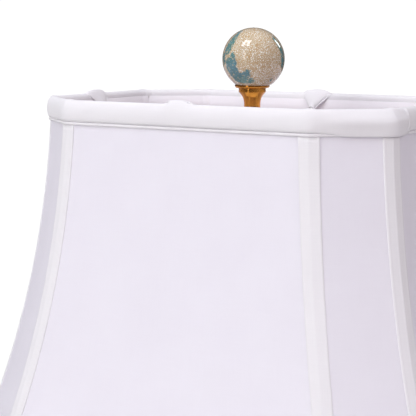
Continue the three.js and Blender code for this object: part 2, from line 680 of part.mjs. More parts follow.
// ---------------------------------------------------------------- finial
function addFinial() {
  const z = (height) => FINIAL_BOTTOM + height;
  const collar = FINIAL_NECK_HEIGHT - FINIAL_COLLAR_HEIGHT;
  const step = collar - FINIAL_STEP_HEIGHT;
  const bore = STUD_RADIUS + RUNNING;
  const boreTop = STUD_LENGTH - SPIDER_WASHER_THICKNESS - GAP + 2;
  const neck = [
    [0, z(boreTop)],
    [bore, z(boreTop - 1)],
    [bore, z(0)],
    [FINIAL_BASE_RADIUS, z(0)],
    [FINIAL_BASE_RADIUS, z(1.6)],
    ...smooth(
      [
        [FINIAL_BASE_RADIUS - 0.8, z(2.4)],
        [FINIAL_WAIST_RADIUS, z(8.5)],
        [FINIAL_WAIST_RADIUS + 0.7, z(step - 3.2)],
        [FINIAL_STEP_RADIUS - 0.3, z(step)],
      ],
      7,
    ),
    [FINIAL_STEP_RADIUS, z(step + 0.3)],
    [FINIAL_STEP_RADIUS, z(collar - 0.4)],
    [FINIAL_COLLAR_RADIUS - 0.5, z(collar)],
    [FINIAL_COLLAR_RADIUS, z(collar + 0.6)],
    [FINIAL_COLLAR_RADIUS, z(FINIAL_NECK_HEIGHT - 0.5)],
    [FINIAL_COLLAR_RADIUS - 0.5, z(FINIAL_NECK_HEIGHT)],
    [SPIGOT_RADIUS, z(FINIAL_NECK_HEIGHT)],
    [SPIGOT_RADIUS, z(FINIAL_NECK_HEIGHT + SPIGOT_HEIGHT)],
    [0, z(FINIAL_NECK_HEIGHT + SPIGOT_HEIGHT)],
  ];
  add("finial_neck", turned(neck, 20), "brass");

  const seat = z(FINIAL_NECK_HEIGHT) + GAP;
  const centre = seat + Math.sqrt(BALL_RADIUS ** 2 - BALL_SEAT_RADIUS ** 2);
  const start = Math.asin((seat - centre) / BALL_RADIUS);
  const socket = SPIGOT_RADIUS + GAP;
  const socketTop = z(FINIAL_NECK_HEIGHT + SPIGOT_HEIGHT) + GAP;
  const ball = [[0, socketTop], [socket, socketTop], [socket, seat]];
  const steps = 13;
  for (let i = 0; i <= steps; i++) {
    const angle = start + (Math.PI / 2 - start) * (i / steps);
    ball.push([BALL_RADIUS * Math.cos(angle), centre + BALL_RADIUS * Math.sin(angle)]);
  }
  ball.at(-1)[0] = 0;
  add("finial_ball", turned(ball, 24), "porcelain");
}

// ---------------------------------------------------------------- shade surfaces
// Heights here are from the shade's top, so they are negative on the shade.
const bell = (share) => BELL_STRAIGHT * share + (1 - BELL_STRAIGHT) * share ** BELL_POWER;

// The eight corners of the cut-corner outline at a height, moved inwards by an inset.
function cornersAt(height, inset) {
  const flare = bell(Math.max(0, -height / SHADE_HEIGHT));
  const length = THREE.MathUtils.lerp(TOP_HALF_LENGTH, BOTTOM_HALF_LENGTH, flare);
  const depth = THREE.MathUtils.lerp(TOP_HALF_DEPTH, BOTTOM_HALF_DEPTH, flare);
  const flatX = THREE.MathUtils.lerp(TOP_FLAT_LENGTH, BOTTOM_FLAT_LENGTH, flare);
  const flatY = THREE.MathUtils.lerp(TOP_FLAT_DEPTH, BOTTOM_FLAT_DEPTH, flare);
  const outline = [
    [-flatX, -depth],
    [flatX, -depth],
    [length, -flatY],
    [length, flatY],
    [flatX, depth],
    [-flatX, depth],
    [-length, flatY],
    [-length, -flatY],
  ].map(([x, y]) => new THREE.Vector2(x, y));
  return outline.map((corner, i) => {
    const before = corner.clone().sub(outline.at(i - 1)).normalize();
    const after = outline[(i + 1) % outline.length].clone().sub(corner).normalize();
    const inward = (along) => new THREE.Vector2(-along.y, along.x);
    const [a, b] = [inward(before), inward(after)];
    const mitre = a.clone().add(b).multiplyScalar(inset / (1 + a.dot(b)));
    return new THREE.Vector3(corner.x + mitre.x, corner.y + mitre.y, SHADE_TOP + height);
  });
}

const CORNERS = 8;
const WIRE_INSET = PANEL_THICKNESS + 2 * GAP + FRAME_RING_RADIUS - 0.5 * GAP;
const LINING_INSET = WIRE_INSET + FRAME_RING_RADIUS + 1.5 * GAP;
const RING_DROP = BAND_THICKNESS + 2 * GAP + FRAME_RING_RADIUS; // ring centre below the band's top
const RING_BOTTOM = -RING_DROP - FRAME_RING_RADIUS;
const ARM_Z = RING_BOTTOM - GAP - SPIDER_ARM_RADIUS;
const LINING_TOP = ARM_Z - SPIDER_ARM_RADIUS - 4 * GAP;
const LINING_BOTTOM = -SHADE_HEIGHT - LINING_TOP;
const TRIM_TOP = -BAND_HEIGHT - GAP - PIPING_HEIGHT - GAP;
const TRIM_BOTTOM = -SHADE_HEIGHT + BAND_HEIGHT + GAP;

// Heights from one level down to another, in equal steps.
function levels(top, bottom, steps) {
  return Array.from({ length: steps + 1 }, (_, i) => top + ((bottom - top) * i) / steps);
}

function addFrame() {
  for (const [name, height] of [["top_ring", -RING_DROP], ["bottom_ring", -SHADE_HEIGHT + RING_DROP]]) {
    const at = (out, up) => cornersAt(height, WIRE_INSET - out).map((p) => p.setZ(SHADE_TOP + height + up));
    add(name, wireLoop(at, FRAME_RING_RADIUS, 8), "frame_wire");
  }
  const ribHeights = levels(RING_BOTTOM - GAP, -SHADE_HEIGHT - RING_BOTTOM + 2 * GAP, 10);
  for (let corner = 0; corner < CORNERS; corner++) {
    const points = ribHeights.map((height) => cornersAt(height, WIRE_INSET)[corner]);
    add(`rib_${corner + 1}`, tube(new THREE.CatmullRomCurve3(points), RIB_RADIUS, 11, 5), "frame_wire");
  }
}

// The washer and its four arms are one welded piece. A folded fabric tab goes round each arm's end.
function addSpider() {
  const top = SHADE_TOP - SPIDER_DROP;
  const bottom = top - SPIDER_WASHER_THICKNESS;
  const hole = STUD_RADIUS + 2 * RUNNING;
  const washer = turned(
    [[hole, bottom], [SPIDER_WASHER_RADIUS, bottom], [SPIDER_WASHER_RADIUS, top], [hole, top]],
    24,
  );
  const armZ = (top + bottom) / 2;
  const ringZ = SHADE_TOP + ARM_Z;
  const arms = [
    ["front", TOP_HALF_DEPTH, -Math.PI / 2],
    ["right", TOP_HALF_LENGTH, 0],
    ["back", TOP_HALF_DEPTH, Math.PI / 2],
    ["left", TOP_HALF_LENGTH, Math.PI],
  ];
  let spider = solidOf(washer);
  for (const [side, reach, turn] of arms) {
    const end = reach - PANEL_THICKNESS - 2 * GAP;
    const bend = end - SPIDER_ARM_REST;
    const path = [
      [SPIDER_WASHER_RADIUS - SPIDER_WELD, armZ],
      [bend - SPIDER_ARM_RISE - 8, armZ],
      [bend - SPIDER_ARM_RISE, armZ + 0.3],
      [bend - SPIDER_ARM_RISE / 2, (armZ + ringZ) / 2],
      [bend, ringZ - 0.3],
      [bend + 4, ringZ],
      [end, ringZ],
    ].map(([r, z]) => new THREE.Vector3(r, 0, z));
    const arm = tube(new THREE.CatmullRomCurve3(path), SPIDER_ARM_RADIUS, 12, 6);
    spider = spider.add(solidOf(arm.rotateZ(turn)));

    const start = reach - LINING_INSET - BAND_THICKNESS - GAP;
    const wrap = turned(
      [
        [SPIDER_ARM_RADIUS + GAP, -start],
        [WRAP_RING_RADIUS, -start],
        [WRAP_RING_RADIUS, -start + 2],
        [WRAP_END_RADIUS, -start + WRAP_LENGTH],
        [SPIDER_ARM_RADIUS + GAP, -start + WRAP_LENGTH],
      ],
      12,
    )
      .rotateY(-Math.PI / 2)
      .translate(0, 0, ringZ)
      .rotateZ(turn);
    add(`arm_wrap_${side}`, wrap, "trim");
  }
  add("spider", geometryOf(spider), "frame_wire");
}

function addPanels() {
  const heights = levels(-RING_DROP, -SHADE_HEIGHT + RING_DROP, 12);
  const names = [
    "panel_front",
    "corner_panel_front_right",
    "panel_right",
    "corner_panel_back_right",
    "panel_back",
    "corner_panel_back_left",
    "panel_left",
    "corner_panel_front_left",
  ];
  names.forEach((name, side) => {
    const grid = (inset) =>
      heights.map((height) => {
        const corners = cornersAt(height, inset);
        const [a, b] = [corners[side], corners[(side + 1) % CORNERS]];
        const trim = b.clone().sub(a).setLength(GAP);
        return [a.clone().add(trim), b.clone().sub(trim)];
      });
    add(name, sheet(grid(0), grid(PANEL_THICKNESS), false), "silk");
  });
  const liningHeights = levels(LINING_TOP, LINING_BOTTOM, 12);
  const liningGrid = (inset) => liningHeights.map((height) => cornersAt(height, inset));
  add("lining", sheet(liningGrid(LINING_INSET), liningGrid(LINING_INSET + LINING_THICKNESS), true), "lining");
}

// A band is a channel over a ring: its outside wall, its back and a short return inside.
function addBands() {
  const inside = LINING_INSET + BAND_THICKNESS;
  const round = 1.2;
  const outer = [
    [BAND_HEIGHT, -GAP - BAND_THICKNESS],
    [round, -GAP - BAND_THICKNESS],
    [0, round - GAP - BAND_THICKNESS],
    [0, inside - round],
    [round, inside],
    [BAND_RETURN, inside],
  ];
  const inner = [
    [BAND_HEIGHT, -GAP],
    [BAND_THICKNESS + GAP, -GAP],
    [BAND_THICKNESS, 0],
    [BAND_THICKNESS, LINING_INSET - GAP],
    [BAND_THICKNESS + GAP, LINING_INSET],
    [BAND_RETURN, LINING_INSET],
  ];
  const rows = (path, place) => path.map(([depth, inset]) => cornersAt(place(depth), inset));
  const fromTop = (depth) => -depth;
  const fromBottom = (depth) => depth - SHADE_HEIGHT;
  add("top_band", sheet(rows(inner, fromTop), rows(outer, fromTop), true), "trim");
  add("bottom_band", sheet(rows(outer, fromBottom), rows(inner, fromBottom), true), "trim");
  const pipingHeights = levels(-BAND_HEIGHT - GAP, -BAND_HEIGHT - GAP - PIPING_HEIGHT, 1);
  const piping = (inset) => pipingHeights.map((height) => cornersAt(height, inset));
  add("top_piping", sheet(piping(-GAP - BAND_THICKNESS), piping(-GAP), true), "trim");
}

function addTrims() {
  const heights = levels(TRIM_TOP, TRIM_BOTTOM, 11);
  for (let corner = 0; corner < CORNERS; corner++) {
    const grid = (inset) =>
      heights.map((height) => {
        const corners = cornersAt(height, inset);
        const here = corners[corner];
        const towards = (other) => other.clone().sub(here).setLength(TRIM_HALF_WIDTH).add(here);
        return [towards(corners.at(corner - 1)), here.clone(), towards(corners[(corner + 1) % CORNERS])];
      });
    add(`rib_trim_${corner + 1}`, sheet(grid(-GAP - TRIM_THICKNESS), grid(-GAP), false), "trim");
  }
}

addFoot();
addRod();
addVase();
addSaddle();
addHarp();
addSocket();
addSwitch();
addBulb();
addFinial();
addFrame();
addSpider();
addPanels();
addBands();
addTrims();

export default lamp;
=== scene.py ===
"""The looks of a porcelain table lamp with a cut-corner bell shade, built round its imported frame."""

import math
import random

import bmesh
import bpy
from mathutils import Matrix, Vector, noise


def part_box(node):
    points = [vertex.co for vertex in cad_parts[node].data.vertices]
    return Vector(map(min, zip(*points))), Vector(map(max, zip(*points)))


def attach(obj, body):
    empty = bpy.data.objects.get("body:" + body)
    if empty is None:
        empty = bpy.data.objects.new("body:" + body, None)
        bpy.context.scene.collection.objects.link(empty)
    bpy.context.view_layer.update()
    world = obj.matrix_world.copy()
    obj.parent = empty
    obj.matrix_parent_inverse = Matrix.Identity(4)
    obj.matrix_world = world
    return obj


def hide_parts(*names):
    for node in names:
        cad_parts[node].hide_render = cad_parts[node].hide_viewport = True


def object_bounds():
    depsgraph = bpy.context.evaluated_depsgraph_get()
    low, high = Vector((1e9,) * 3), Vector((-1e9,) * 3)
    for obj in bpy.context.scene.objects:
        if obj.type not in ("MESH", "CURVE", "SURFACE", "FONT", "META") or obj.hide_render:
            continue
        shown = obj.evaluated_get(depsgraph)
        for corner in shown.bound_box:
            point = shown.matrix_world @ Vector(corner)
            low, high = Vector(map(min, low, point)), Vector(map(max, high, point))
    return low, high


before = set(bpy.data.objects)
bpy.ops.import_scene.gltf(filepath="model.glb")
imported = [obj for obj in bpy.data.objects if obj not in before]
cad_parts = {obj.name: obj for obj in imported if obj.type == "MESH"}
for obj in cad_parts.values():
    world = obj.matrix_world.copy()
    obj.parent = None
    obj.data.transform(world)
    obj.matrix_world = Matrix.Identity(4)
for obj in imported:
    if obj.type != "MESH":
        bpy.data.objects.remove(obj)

CAD_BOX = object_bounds()
MM = 0.001

# ---- places and sizes
SHADE_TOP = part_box("top_band")[1].z
SHADE_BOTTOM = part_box("bottom_band")[0].z
BAND_HEIGHT = SHADE_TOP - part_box("top_band")[0].z
RIM_TO_ARM = SHADE_TOP - (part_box("arm_wrap_left")[0].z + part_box("arm_wrap_left")[1].z) / 2
BALL_LOW, BALL_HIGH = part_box("finial_ball")
BALL_RADIUS = (BALL_HIGH.x - BALL_LOW.x) / 2
BALL_CENTRE = Vector((0, 0, BALL_HIGH.z - BALL_RADIUS))

# The shade's cut-corner outline on its fabric, at the top and at the bottom.
TOP_HALF = Vector((119, 77.5)) * MM
TOP_FLAT = Vector((82.5, 48.5)) * MM
BOTTOM_HALF = Vector((188, 123)) * MM
BOTTOM_FLAT = Vector((136.5, 84.7)) * MM
BELL_STRAIGHT = 0.158
BELL_POWER = 2.1
CORNERS = 8

# The camera stands to the front and right of the lamp, a little above the shade's rim.
CAMERA_TURN = math.radians(31.47)
CAMERA_DISTANCE = 881 * MM
CAMERA_RISE = 48.9 * MM
CAMERA_PAN = math.radians(1.76)
CAMERA_TILT = math.radians(7.55)
CAMERA_LENS = 124.4
CAMERA_NEAREST = 10 * MM
SENSOR_WIDTH = 36


# ---- camera, light and floor
def add_object(name, data):
    thing = bpy.data.objects.new(name, data)
    bpy.context.scene.collection.objects.link(thing)
    return thing


def freed_mesh(name, bm):
    """The mesh of a bmesh, which is freed."""
    mesh = bpy.data.meshes.new(name)
    bm.to_mesh(mesh)
    bm.free()
    return mesh


def place_camera():
    data = bpy.data.cameras.new("camera")
    data.lens = CAMERA_LENS
    data.sensor_width = SENSOR_WIDTH
    data.clip_start = CAMERA_NEAREST
    camera = add_object("camera", data)
    camera.location = (
        CAMERA_DISTANCE * math.sin(CAMERA_TURN),
        -CAMERA_DISTANCE * math.cos(CAMERA_TURN),
        SHADE_TOP + CAMERA_RISE,
    )
    camera.rotation_euler = (math.pi / 2 - CAMERA_TILT, 0, CAMERA_TURN + CAMERA_PAN)
    bpy.context.scene.camera = camera


WHITE = (1, 1, 1)
# Each light: name, direction from the shade's top, distance, (width, height), watts, tint, and
# whether it shows in "gloss", on "matt" surfaces or in "all".
LIGHTS = [
    ("pane_left", (-0.238, -0.511, 0.826), 1.5, (0.26, 0.64), 4.4, (0.85, 0.93, 1), "all"),
    ("pane_right", (-0.007, -0.506, 0.862), 1.5, (0.26, 0.64), 4.4, (0.85, 0.93, 1), "all"),
    ("front", (-0.5, -1, 0.3), 2.4, (1.4, 1.4), 30.5, (0.98, 1, 0.93), "matt"),
    ("sheen", (-0.05, -1, 0.22), 2.6, (0.3, 1.3), 4.6, WHITE, "gloss"),
    ("window", (0.22, 0.885, 0.41), 1.6, (0.18, 0.4), 2, WHITE, "gloss"),
    ("front_right", (0.75, -1, 0.6), 2.4, (1.0, 1.4), 7.2, (1, 0.97, 0.91), "matt"),
    ("right", (1, -0.35, 0.5), 2.4, (1.0, 1.4), 16, (1, 0.94, 0.93), "matt"),
    ("back", (-0.2, 1, 0.12), 2.6, (1.4, 1.4), 8, (1, 0.96, 0.95), "matt"),
    ("inside", (0.1, 0.3, 1), 1.6, (0.6, 0.6), 4, (0.97, 1, 0.95), "matt"),
]
SKY_LEVELS = (0.01, 0.26, 0.60)  # below, level and above
SKY_PLACES = (0.15, 0.5, 0.9)  # where those lie, from straight down to straight up
SKY_GREEN = 0.985
SKY_IN_GLOSS = 0.25  # reflections see a dimmer room
BACKDROP = 1.05  # the white behind the lamp


def softbox(name, direction, distance, size, power, tint, seen_by):
    """A rectangular light that faces the shade's top from a direction."""
    data = bpy.data.lights.new(name, "AREA")
    data.shape = "RECTANGLE"
    data.size, data.size_y = size
    data.energy = power
    data.color = tint
    light = add_object(name, data)
    aim = Vector((0, 0, SHADE_TOP))
    way = Vector(direction).normalized()
    light.location = aim + way * distance
    light.rotation_euler = way.to_track_quat("Z", "Y").to_euler()
    light.visible_glossy = seen_by != "matt"
    light.visible_diffuse = seen_by != "gloss"


def sky(g):
    """The colour of the light from all round: bright from above and dim from below."""
    up = g.node("SeparateXYZ", {"Vector": g.node("TexCoord").outputs["Generated"]}).outputs[2]
    stops = [(at, (level, level * SKY_GREEN, level)) for at, level in zip(SKY_PLACES, SKY_LEVELS)]
    return g.ramp(g.plus(g.times(up, 0.5), 0.5), *stops)


def light_the_set():
    world = bpy.data.worlds.new("studio")
    bpy.context.scene.world = world
    world.use_nodes = True
    g = Graph(world.node_tree)
    g.nodes.clear()
    rays = g.node("LightPath").outputs
    dim = g.plus(g.times(rays["Is Glossy Ray"], SKY_IN_GLOSS - 1), 1)
    fill = g.node("Background", {"Color": sky(g), "Strength": dim})
    seen = g.node("Background", {"Color": (*WHITE, 1), "Strength": BACKDROP})
    mixed = {0: rays["Is Camera Ray"], 1: fill.outputs[0], 2: seen.outputs[0]}
    g.node("OutputWorld", {"Surface": g.node("MixShader", mixed).outputs[0]})
    for light in LIGHTS:
        softbox(*light)
    bpy.context.scene.view_settings.view_transform = "Standard"


FLOOR_RADIUS = 1.5
FLOOR_GAP = 0.5 * MM


def lay_floor():
    bm = bmesh.new()
    bmesh.ops.create_circle(bm, cap_ends=True, segments=96, radius=FLOOR_RADIUS)
    mesh = freed_mesh("floor", bm)
    floor = add_object("floor", mesh)
    floor.location.z = CAD_BOX[0].z - FLOOR_GAP
    mesh.materials.append(Surface("pale_floor", (0.86, 0.85, 0.86), 0.7).material)


# ---- materials
class Graph:
    """A node tree with short ways to add nodes."""

    def __init__(self, tree):
        self.nodes, self.links = tree.nodes, tree.links

    def node(self, kind, inputs=None, **settings):
        node = self.nodes.new("ShaderNode" + kind)
        for key, value in settings.items():
            setattr(node, key, value)
        for key, value in (inputs or {}).items():
            self.feed(node.inputs[key], value)
        return node

    def feed(self, socket, value):
        if isinstance(value, bpy.types.NodeSocket):
            self.links.new(value, socket)
        else:
            socket.default_value = value

    def coords(self, kind="Object", scale=(1, 1, 1), rotation=(0, 0, 0)):
        source = self.node("TexCoord").outputs[kind]
        inputs = {"Vector": source, "Scale": scale, "Rotation": rotation}
        return self.node("Mapping", inputs).outputs[0]

    def math(self, operation, a, b=0.0, clamp=False):
        node = self.node("Math", operation=operation, use_clamp=clamp)
        self.feed(node.inputs[0], a)
        self.feed(node.inputs[1], b)
        return node.outputs[0]

    def times(self, a, b, clamp=False):
        return self.math("MULTIPLY", a, b, clamp)

    def plus(self, a, b):
        return self.math("ADD", a, b)

    def minus(self, a, b):
        return self.math("SUBTRACT", a, b)

    def ramp(self, value, *stops):
        node = self.node("ValToRGB", {"Fac": value})
        elements = node.color_ramp.elements
        while len(elements) < len(stops):
            elements.new(0.5)
        for element, (position, colour) in zip(elements, stops):
            element.position = position
            shade = colour if hasattr(colour, "__len__") else (colour,) * 3
            element.color = (*shade, 1)
        return node.outputs[0]

    def mix(self, factor, a, b, blend="MIX"):
        node = self.node("Mix", data_type="RGBA", blend_type=blend)
        self.feed(node.inputs[0], factor)
        for socket, value in ((node.inputs[6], a), (node.inputs[7], b)):
            if isinstance(value, tuple):
                value = (*value, 1)
            self.feed(socket, value)
        return node.outputs[2]

    def noise(self, coords, scale, detail=3.0, roughness=0.5, distortion=0.0):
        inputs = {"Vector": coords, "Scale": scale, "Detail": detail}
        inputs.update({"Roughness": roughness, "Distortion": distortion})
        return self.node("TexNoise", inputs).outputs["Fac"]

    def bump(self, height, strength, distance, normal=None):
        inputs = {"Height": height, "Strength": strength, "Distance": distance}
        if normal is not None:
            inputs["Normal"] = normal
        return self.node("Bump", inputs).outputs[0]


class Surface(Graph):
    """A material's nodes round its shader."""

    def __init__(self, name, colour, roughness, metallic=0.0):
        self.material = bpy.data.materials.new(name)
        self.material.use_nodes = True
        super().__init__(self.material.node_tree)
        self.shader = self.nodes["Principled BSDF"]
        self.dress({"Base Color": (*colour, 1), "Roughness": roughness, "Metallic": metallic})

    def dress(self, inputs):
        """Sets inputs of the shader to values, or links them to other nodes."""
        for key, value in inputs.items():
            self.feed(self.shader.inputs[key], value)


def darker(colour, share):
    return tuple(part * share for part in colour)


def weave(g, turn, thread):
    """The height of a plain weave in UV metres, with threads of a width, turned by an angle."""
    parts = g.node("SeparateXYZ", {"Vector": g.coords("UV", rotation=(0, 0, turn))})
    frequency = math.pi / thread
    across = g.math("SINE", g.times(parts.outputs[0], frequency))
    along = g.math("SINE", g.times(parts.outputs[1], frequency))
    checks = g.times(across, along)
    return g.plus(g.times(checks, 0.5), 0.5)


def slubs(g, turn, length, width):
    """Uneven threads: long thin streaks both ways."""
    one = g.noise(g.coords("UV", (1 / length, 1 / width, 1), (0, 0, turn)), 1.0, 2.0)
    two = g.noise(g.coords("UV", (1 / width, 1 / length, 1), (0, 0, turn)), 1.0, 2.0)
    return g.times(g.plus(one, two), 0.5)


THREAD = 0.42 * MM
SLUB_LENGTH = 22 * MM
SLUB_WIDTH = 0.4 * MM
LET_THROUGH = 0.3  # the share of the light that goes through cloth


def fabric(name, light, dark, turn=0.0, gloss=0.3, roughness=0.7):
    """Thin woven cloth: weave and slubs in the bump and colour, and some light let through."""
    g = Surface(name, light, roughness)
    cloth, uneven = weave(g, turn, THREAD), slubs(g, turn, SLUB_LENGTH, SLUB_WIDTH)
    mottle = g.noise(g.coords("UV"), 30.0, 3.0)
    tone = g.plus(g.times(uneven, 0.55), g.times(mottle, 0.45))
    colour = g.ramp(tone, (0.3, dark), (0.62, light))
    colour = g.mix(g.times(cloth, 0.08), colour, dark)
    normal = g.bump(cloth, 0.35, 0.04 * MM, g.bump(uneven, 0.2, 0.06 * MM))
    worn = g.ramp(uneven, (0.3, roughness + 0.06), (0.7, roughness - 0.06))
    g.dress({"Base Color": colour, "Roughness": worn, "Normal": normal, "Specular IOR Level": gloss})
    g.dress({"Sheen Weight": 0.08, "Sheen Roughness": 0.4})
    through = g.node("BsdfTranslucent", {"Color": colour, "Normal": normal})
    mixed = {0: LET_THROUGH, 1: g.shader.outputs[0], 2: through.outputs[0]}
    both = g.node("MixShader", mixed)
    g.links.new(both.outputs[0], g.nodes["Material Output"].inputs["Surface"])
    return g.material


BRASS = (0.84, 0.36, 0.065)
# Round this height the brass colour is darkened: a painted dark reflection on the finial's
# downward-facing flare.
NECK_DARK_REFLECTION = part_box("finial_neck")[1].z - 8 * MM  # the middle of the finial's dark flare
NECK_DARK_REFLECTION_REACH = 4.6 * MM


def turned_brass(name, colour=BRASS, roughness=0.13):
    """Lacquered brass with fine lathe rings and dull hand marks, and a painted dark reflection in the
    finial's flare.
    """
    g = Surface(name, colour, roughness, 1.0)
    rings = g.noise(g.coords(scale=(1, 1, 60)), 90.0, 2.0)
    marks = g.noise(g.coords(), 55.0, 5.0, 0.65)
    stain = g.ramp(marks, (0.35, darker(colour, 0.7)), (0.62, colour))
    height = g.node("SeparateXYZ", {"Vector": g.coords()}).outputs[2]
    # A painted dark reflection: the brass colour is darkened in a band round the finial's flare.
    from_reflection_band = g.times(g.minus(height, NECK_DARK_REFLECTION), 1 / NECK_DARK_REFLECTION_REACH)
    painted_dark_reflection = g.ramp(g.math("ABSOLUTE", from_reflection_band), (0.55, 0.36), (1.0, 1.0))
    worn = g.plus(g.times(marks, 0.22), roughness - 0.09)
    worn = g.plus(worn, g.times(rings, 0.05))
    colour = g.mix(1.0, stain, painted_dark_reflection, "MULTIPLY")
    g.dress({"Base Color": colour, "Roughness": worn, "Normal": g.bump(rings, 0.25, 0.03 * MM)})
    return g.material


def plain_metal(name, colour, roughness):
    g = Surface(name, colour, roughness, 1.0)
    marks = g.noise(g.coords(), 240.0, 4.0)
    worn = g.ramp(marks, (0.3, roughness - 0.1), (0.7, roughness + 0.12))
    g.dress({"Roughness": worn, "Normal": g.bump(marks, 0.2, 0.04 * MM)})
    return g.material


def moulded(name, colour, roughness=0.38):
    g = Surface(name, colour, roughness)
    skin = g.noise(g.coords(), 900.0, 3.0)
    cloud = g.noise(g.coords(), 60.0, 4.0)
    clouded = g.ramp(cloud, (0.3, darker(colour, 0.75)), (0.7, colour))
    worn = g.ramp(cloud, (0.3, roughness), (0.7, roughness + 0.14))
    g.dress({"Base Color": clouded, "Roughness": worn, "Normal": g.bump(skin, 0.3, 0.03 * MM)})
    return g.material


def painted_wire():
    g = Surface("white_enamel", (0.86, 0.85, 0.86), 0.4)
    drips = g.noise(g.coords(), 420.0, 3.0)
    worn = g.ramp(drips, (0.3, 0.3), (0.7, 0.5))
    g.dress({"Roughness": worn, "Normal": g.bump(drips, 0.35, 0.05 * MM)})
    return g.material


def felt():
    g = Surface("green_felt", (0.045, 0.075, 0.05), 1.0)
    fibres = g.noise(g.coords(), 1500.0, 5.0, 0.7)
    colour = g.ramp(fibres, (0.3, (0.02, 0.04, 0.025)), (0.7, (0.08, 0.12, 0.085)))
    g.dress({"Base Color": colour, "Normal": g.bump(fibres, 0.8, 0.3 * MM), "Sheen Weight": 0.5})
    return g.material


def pressed_fibre():
    g = Surface("pressed_fibre", (0.55, 0.44, 0.28), 0.9)
    fibres = g.noise(g.coords(scale=(1, 1, 5)), 300.0, 5.0, 0.7)
    colour = g.ramp(fibres, (0.3, (0.42, 0.32, 0.19)), (0.7, (0.66, 0.54, 0.37)))
    g.dress({"Base Color": colour, "Normal": g.bump(fibres, 0.5, 0.08 * MM)})
    return g.material


def frosted_glass():
    g = Surface("frosted_glass", (0.93, 0.92, 0.90), 0.35)
    frost = g.noise(g.coords(), 700.0, 4.0)
    worn = g.ramp(frost, (0.3, 0.3), (0.7, 0.42))
    g.dress({"Roughness": worn, "Normal": g.bump(frost, 0.15, 0.03 * MM)})
    g.dress({"Transmission Weight": 0.35, "Coat Weight": 0.6, "Coat Roughness": 0.06})
    return g.material


# ---- glaze
CREAM = (0.49, 0.425, 0.32)
PALE_CREAM = (0.56, 0.51, 0.415)
FLECK = (0.79, 0.79, 0.77)
CRACK_TAN = (0.36, 0.20, 0.085)
CRACK_OCHRE = (0.50, 0.31, 0.15)
CRACK_IN_PAINT = (0.22, 0.25, 0.20)
TEAL = (0.05, 0.17, 0.155)
BLUE = (0.06, 0.17, 0.235)
PALE_BLUE = (0.22, 0.40, 0.46)
BALL_CELL = 0.95 * MM  # the crackle's cells
VASE_CELL = 1.6 * MM


def wandering(g, where, cell):
    """Coordinates pushed about a little, so that the cracks don't run straight."""
    wander = g.node("TexNoise", {"Vector": where, "Scale": 0.6 / cell, "Detail": 1.0})
    centred = {0: wander.outputs["Color"], 1: (0.5, 0.5, 0.5)}
    push = g.node("VectorMath", centred, operation="SUBTRACT")
    scaled = {0: push.outputs[0], "Scale": 0.6 * cell}
    pushed = g.node("VectorMath", scaled, operation="SCALE")
    return g.node("VectorMath", {0: where, 1: pushed.outputs[0]}, operation="ADD").outputs[0]


def crackle_glaze(name, painted, cell):
    """Tan glaze with whitish cells in a fine net of cracks. painted(g) is the mask of the brushwork."""
    g = Surface(name, CREAM, 0.09)
    where = g.coords()
    fine = {"Vector": wandering(g, where, cell), "Scale": 1 / cell}
    net = g.node("TexVoronoi", fine, feature="DISTANCE_TO_EDGE").outputs["Distance"]
    cells = g.node("TexVoronoi", fine, feature="F1").outputs["Color"]
    wide = {"Vector": fine["Vector"], "Scale": 0.17 / cell}
    big = g.node("TexVoronoi", wide, feature="DISTANCE_TO_EDGE").outputs["Distance"]
    crack = g.ramp(net, (0.05, 1.0), (0.24, 0.0))
    deep = g.ramp(big, (0.0, 1.0), (0.015, 0.0))
    cloud = g.noise(where, 70.0, 4.0, 0.6)
    pick = g.node("SeparateColor", {"Color": cells}).outputs[0]
    inner = g.ramp(net, (0.1, 0.0), (0.28, 1.0))
    speck = g.times(g.ramp(pick, (0.2, 0.15), (0.6, 1.0)), inner)
    body = g.mix(speck, g.ramp(cloud, (0.36, CREAM), (0.64, PALE_CREAM)), FLECK)
    paint = g.mix(g.ramp(g.noise(where, 55.0, 2.0), (0.4, 0.0), (0.6, 1.0)), TEAL, BLUE)
    paint = g.mix(g.times(speck, 0.6), paint, PALE_BLUE)
    dots = g.ramp(pick, (0.1, 1.0), (0.16, 0.0))
    paint = g.mix(g.times(dots, 0.75), paint, CREAM)
    paint = g.mix(g.times(crack, 0.35), paint, CRACK_IN_PAINT)
    colour = g.mix(g.times(crack, 0.8), body, g.mix(cloud, CRACK_TAN, CRACK_OCHRE))
    colour = g.mix(g.times(deep, 0.4), colour, CRACK_TAN)
    relief = g.minus(g.times(cloud, 0.4), g.times(crack, 0.25))
    g.dress({"Base Color": g.mix(painted(g), colour, paint)})
    g.dress({"Roughness": g.ramp(cloud, (0.3, 0.05), (0.7, 0.11))})
    g.dress({"Normal": g.bump(relief, 0.04, 0.1 * MM), "Coat Weight": 0.6, "Coat Roughness": 0.02})
    return g.material


# Brushwork on the ball: each dab is (right, up, size) in ball radii, on the half that faces the camera.
BALL_DABS = [
    (-0.40, 0.88, 0.06), (-0.49, 0.81, 0.10), (-0.57, 0.73, 0.14), (-0.64, 0.63, 0.17),
    (-0.71, 0.52, 0.18), (-0.77, 0.41, 0.18), (-0.83, 0.29, 0.16), (-0.95, 0.08, 0.14),
    (-0.94, -0.06, 0.12), (-0.65, 0.13, 0.10), (-0.67, 0.02, 0.15), (-0.75, -0.14, 0.22),
    (-0.62, -0.10, 0.13), (-0.72, -0.28, 0.25), (-0.62, -0.43, 0.25), (-0.48, -0.57, 0.24),
    (-0.30, -0.62, 0.22), (-0.22, -0.48, 0.15), (-0.18, -0.38, 0.09), (-0.10, -0.66, 0.14),
    (0.63, 0.70, 0.06), (0.68, 0.61, 0.10), (0.75, 0.51, 0.11), (0.82, 0.39, 0.11),
    (0.89, 0.27, 0.13), (0.92, 0.14, 0.14), (0.93, -0.02, 0.14), (0.92, -0.17, 0.12),
    (0.55, -0.66, 0.06),
]
BALL_BACK_DABS = 14  # in a string that wanders over the half that the camera doesn't see
BALL_BACK_SEED = 3
BALL_BACK_STEP = 0.42
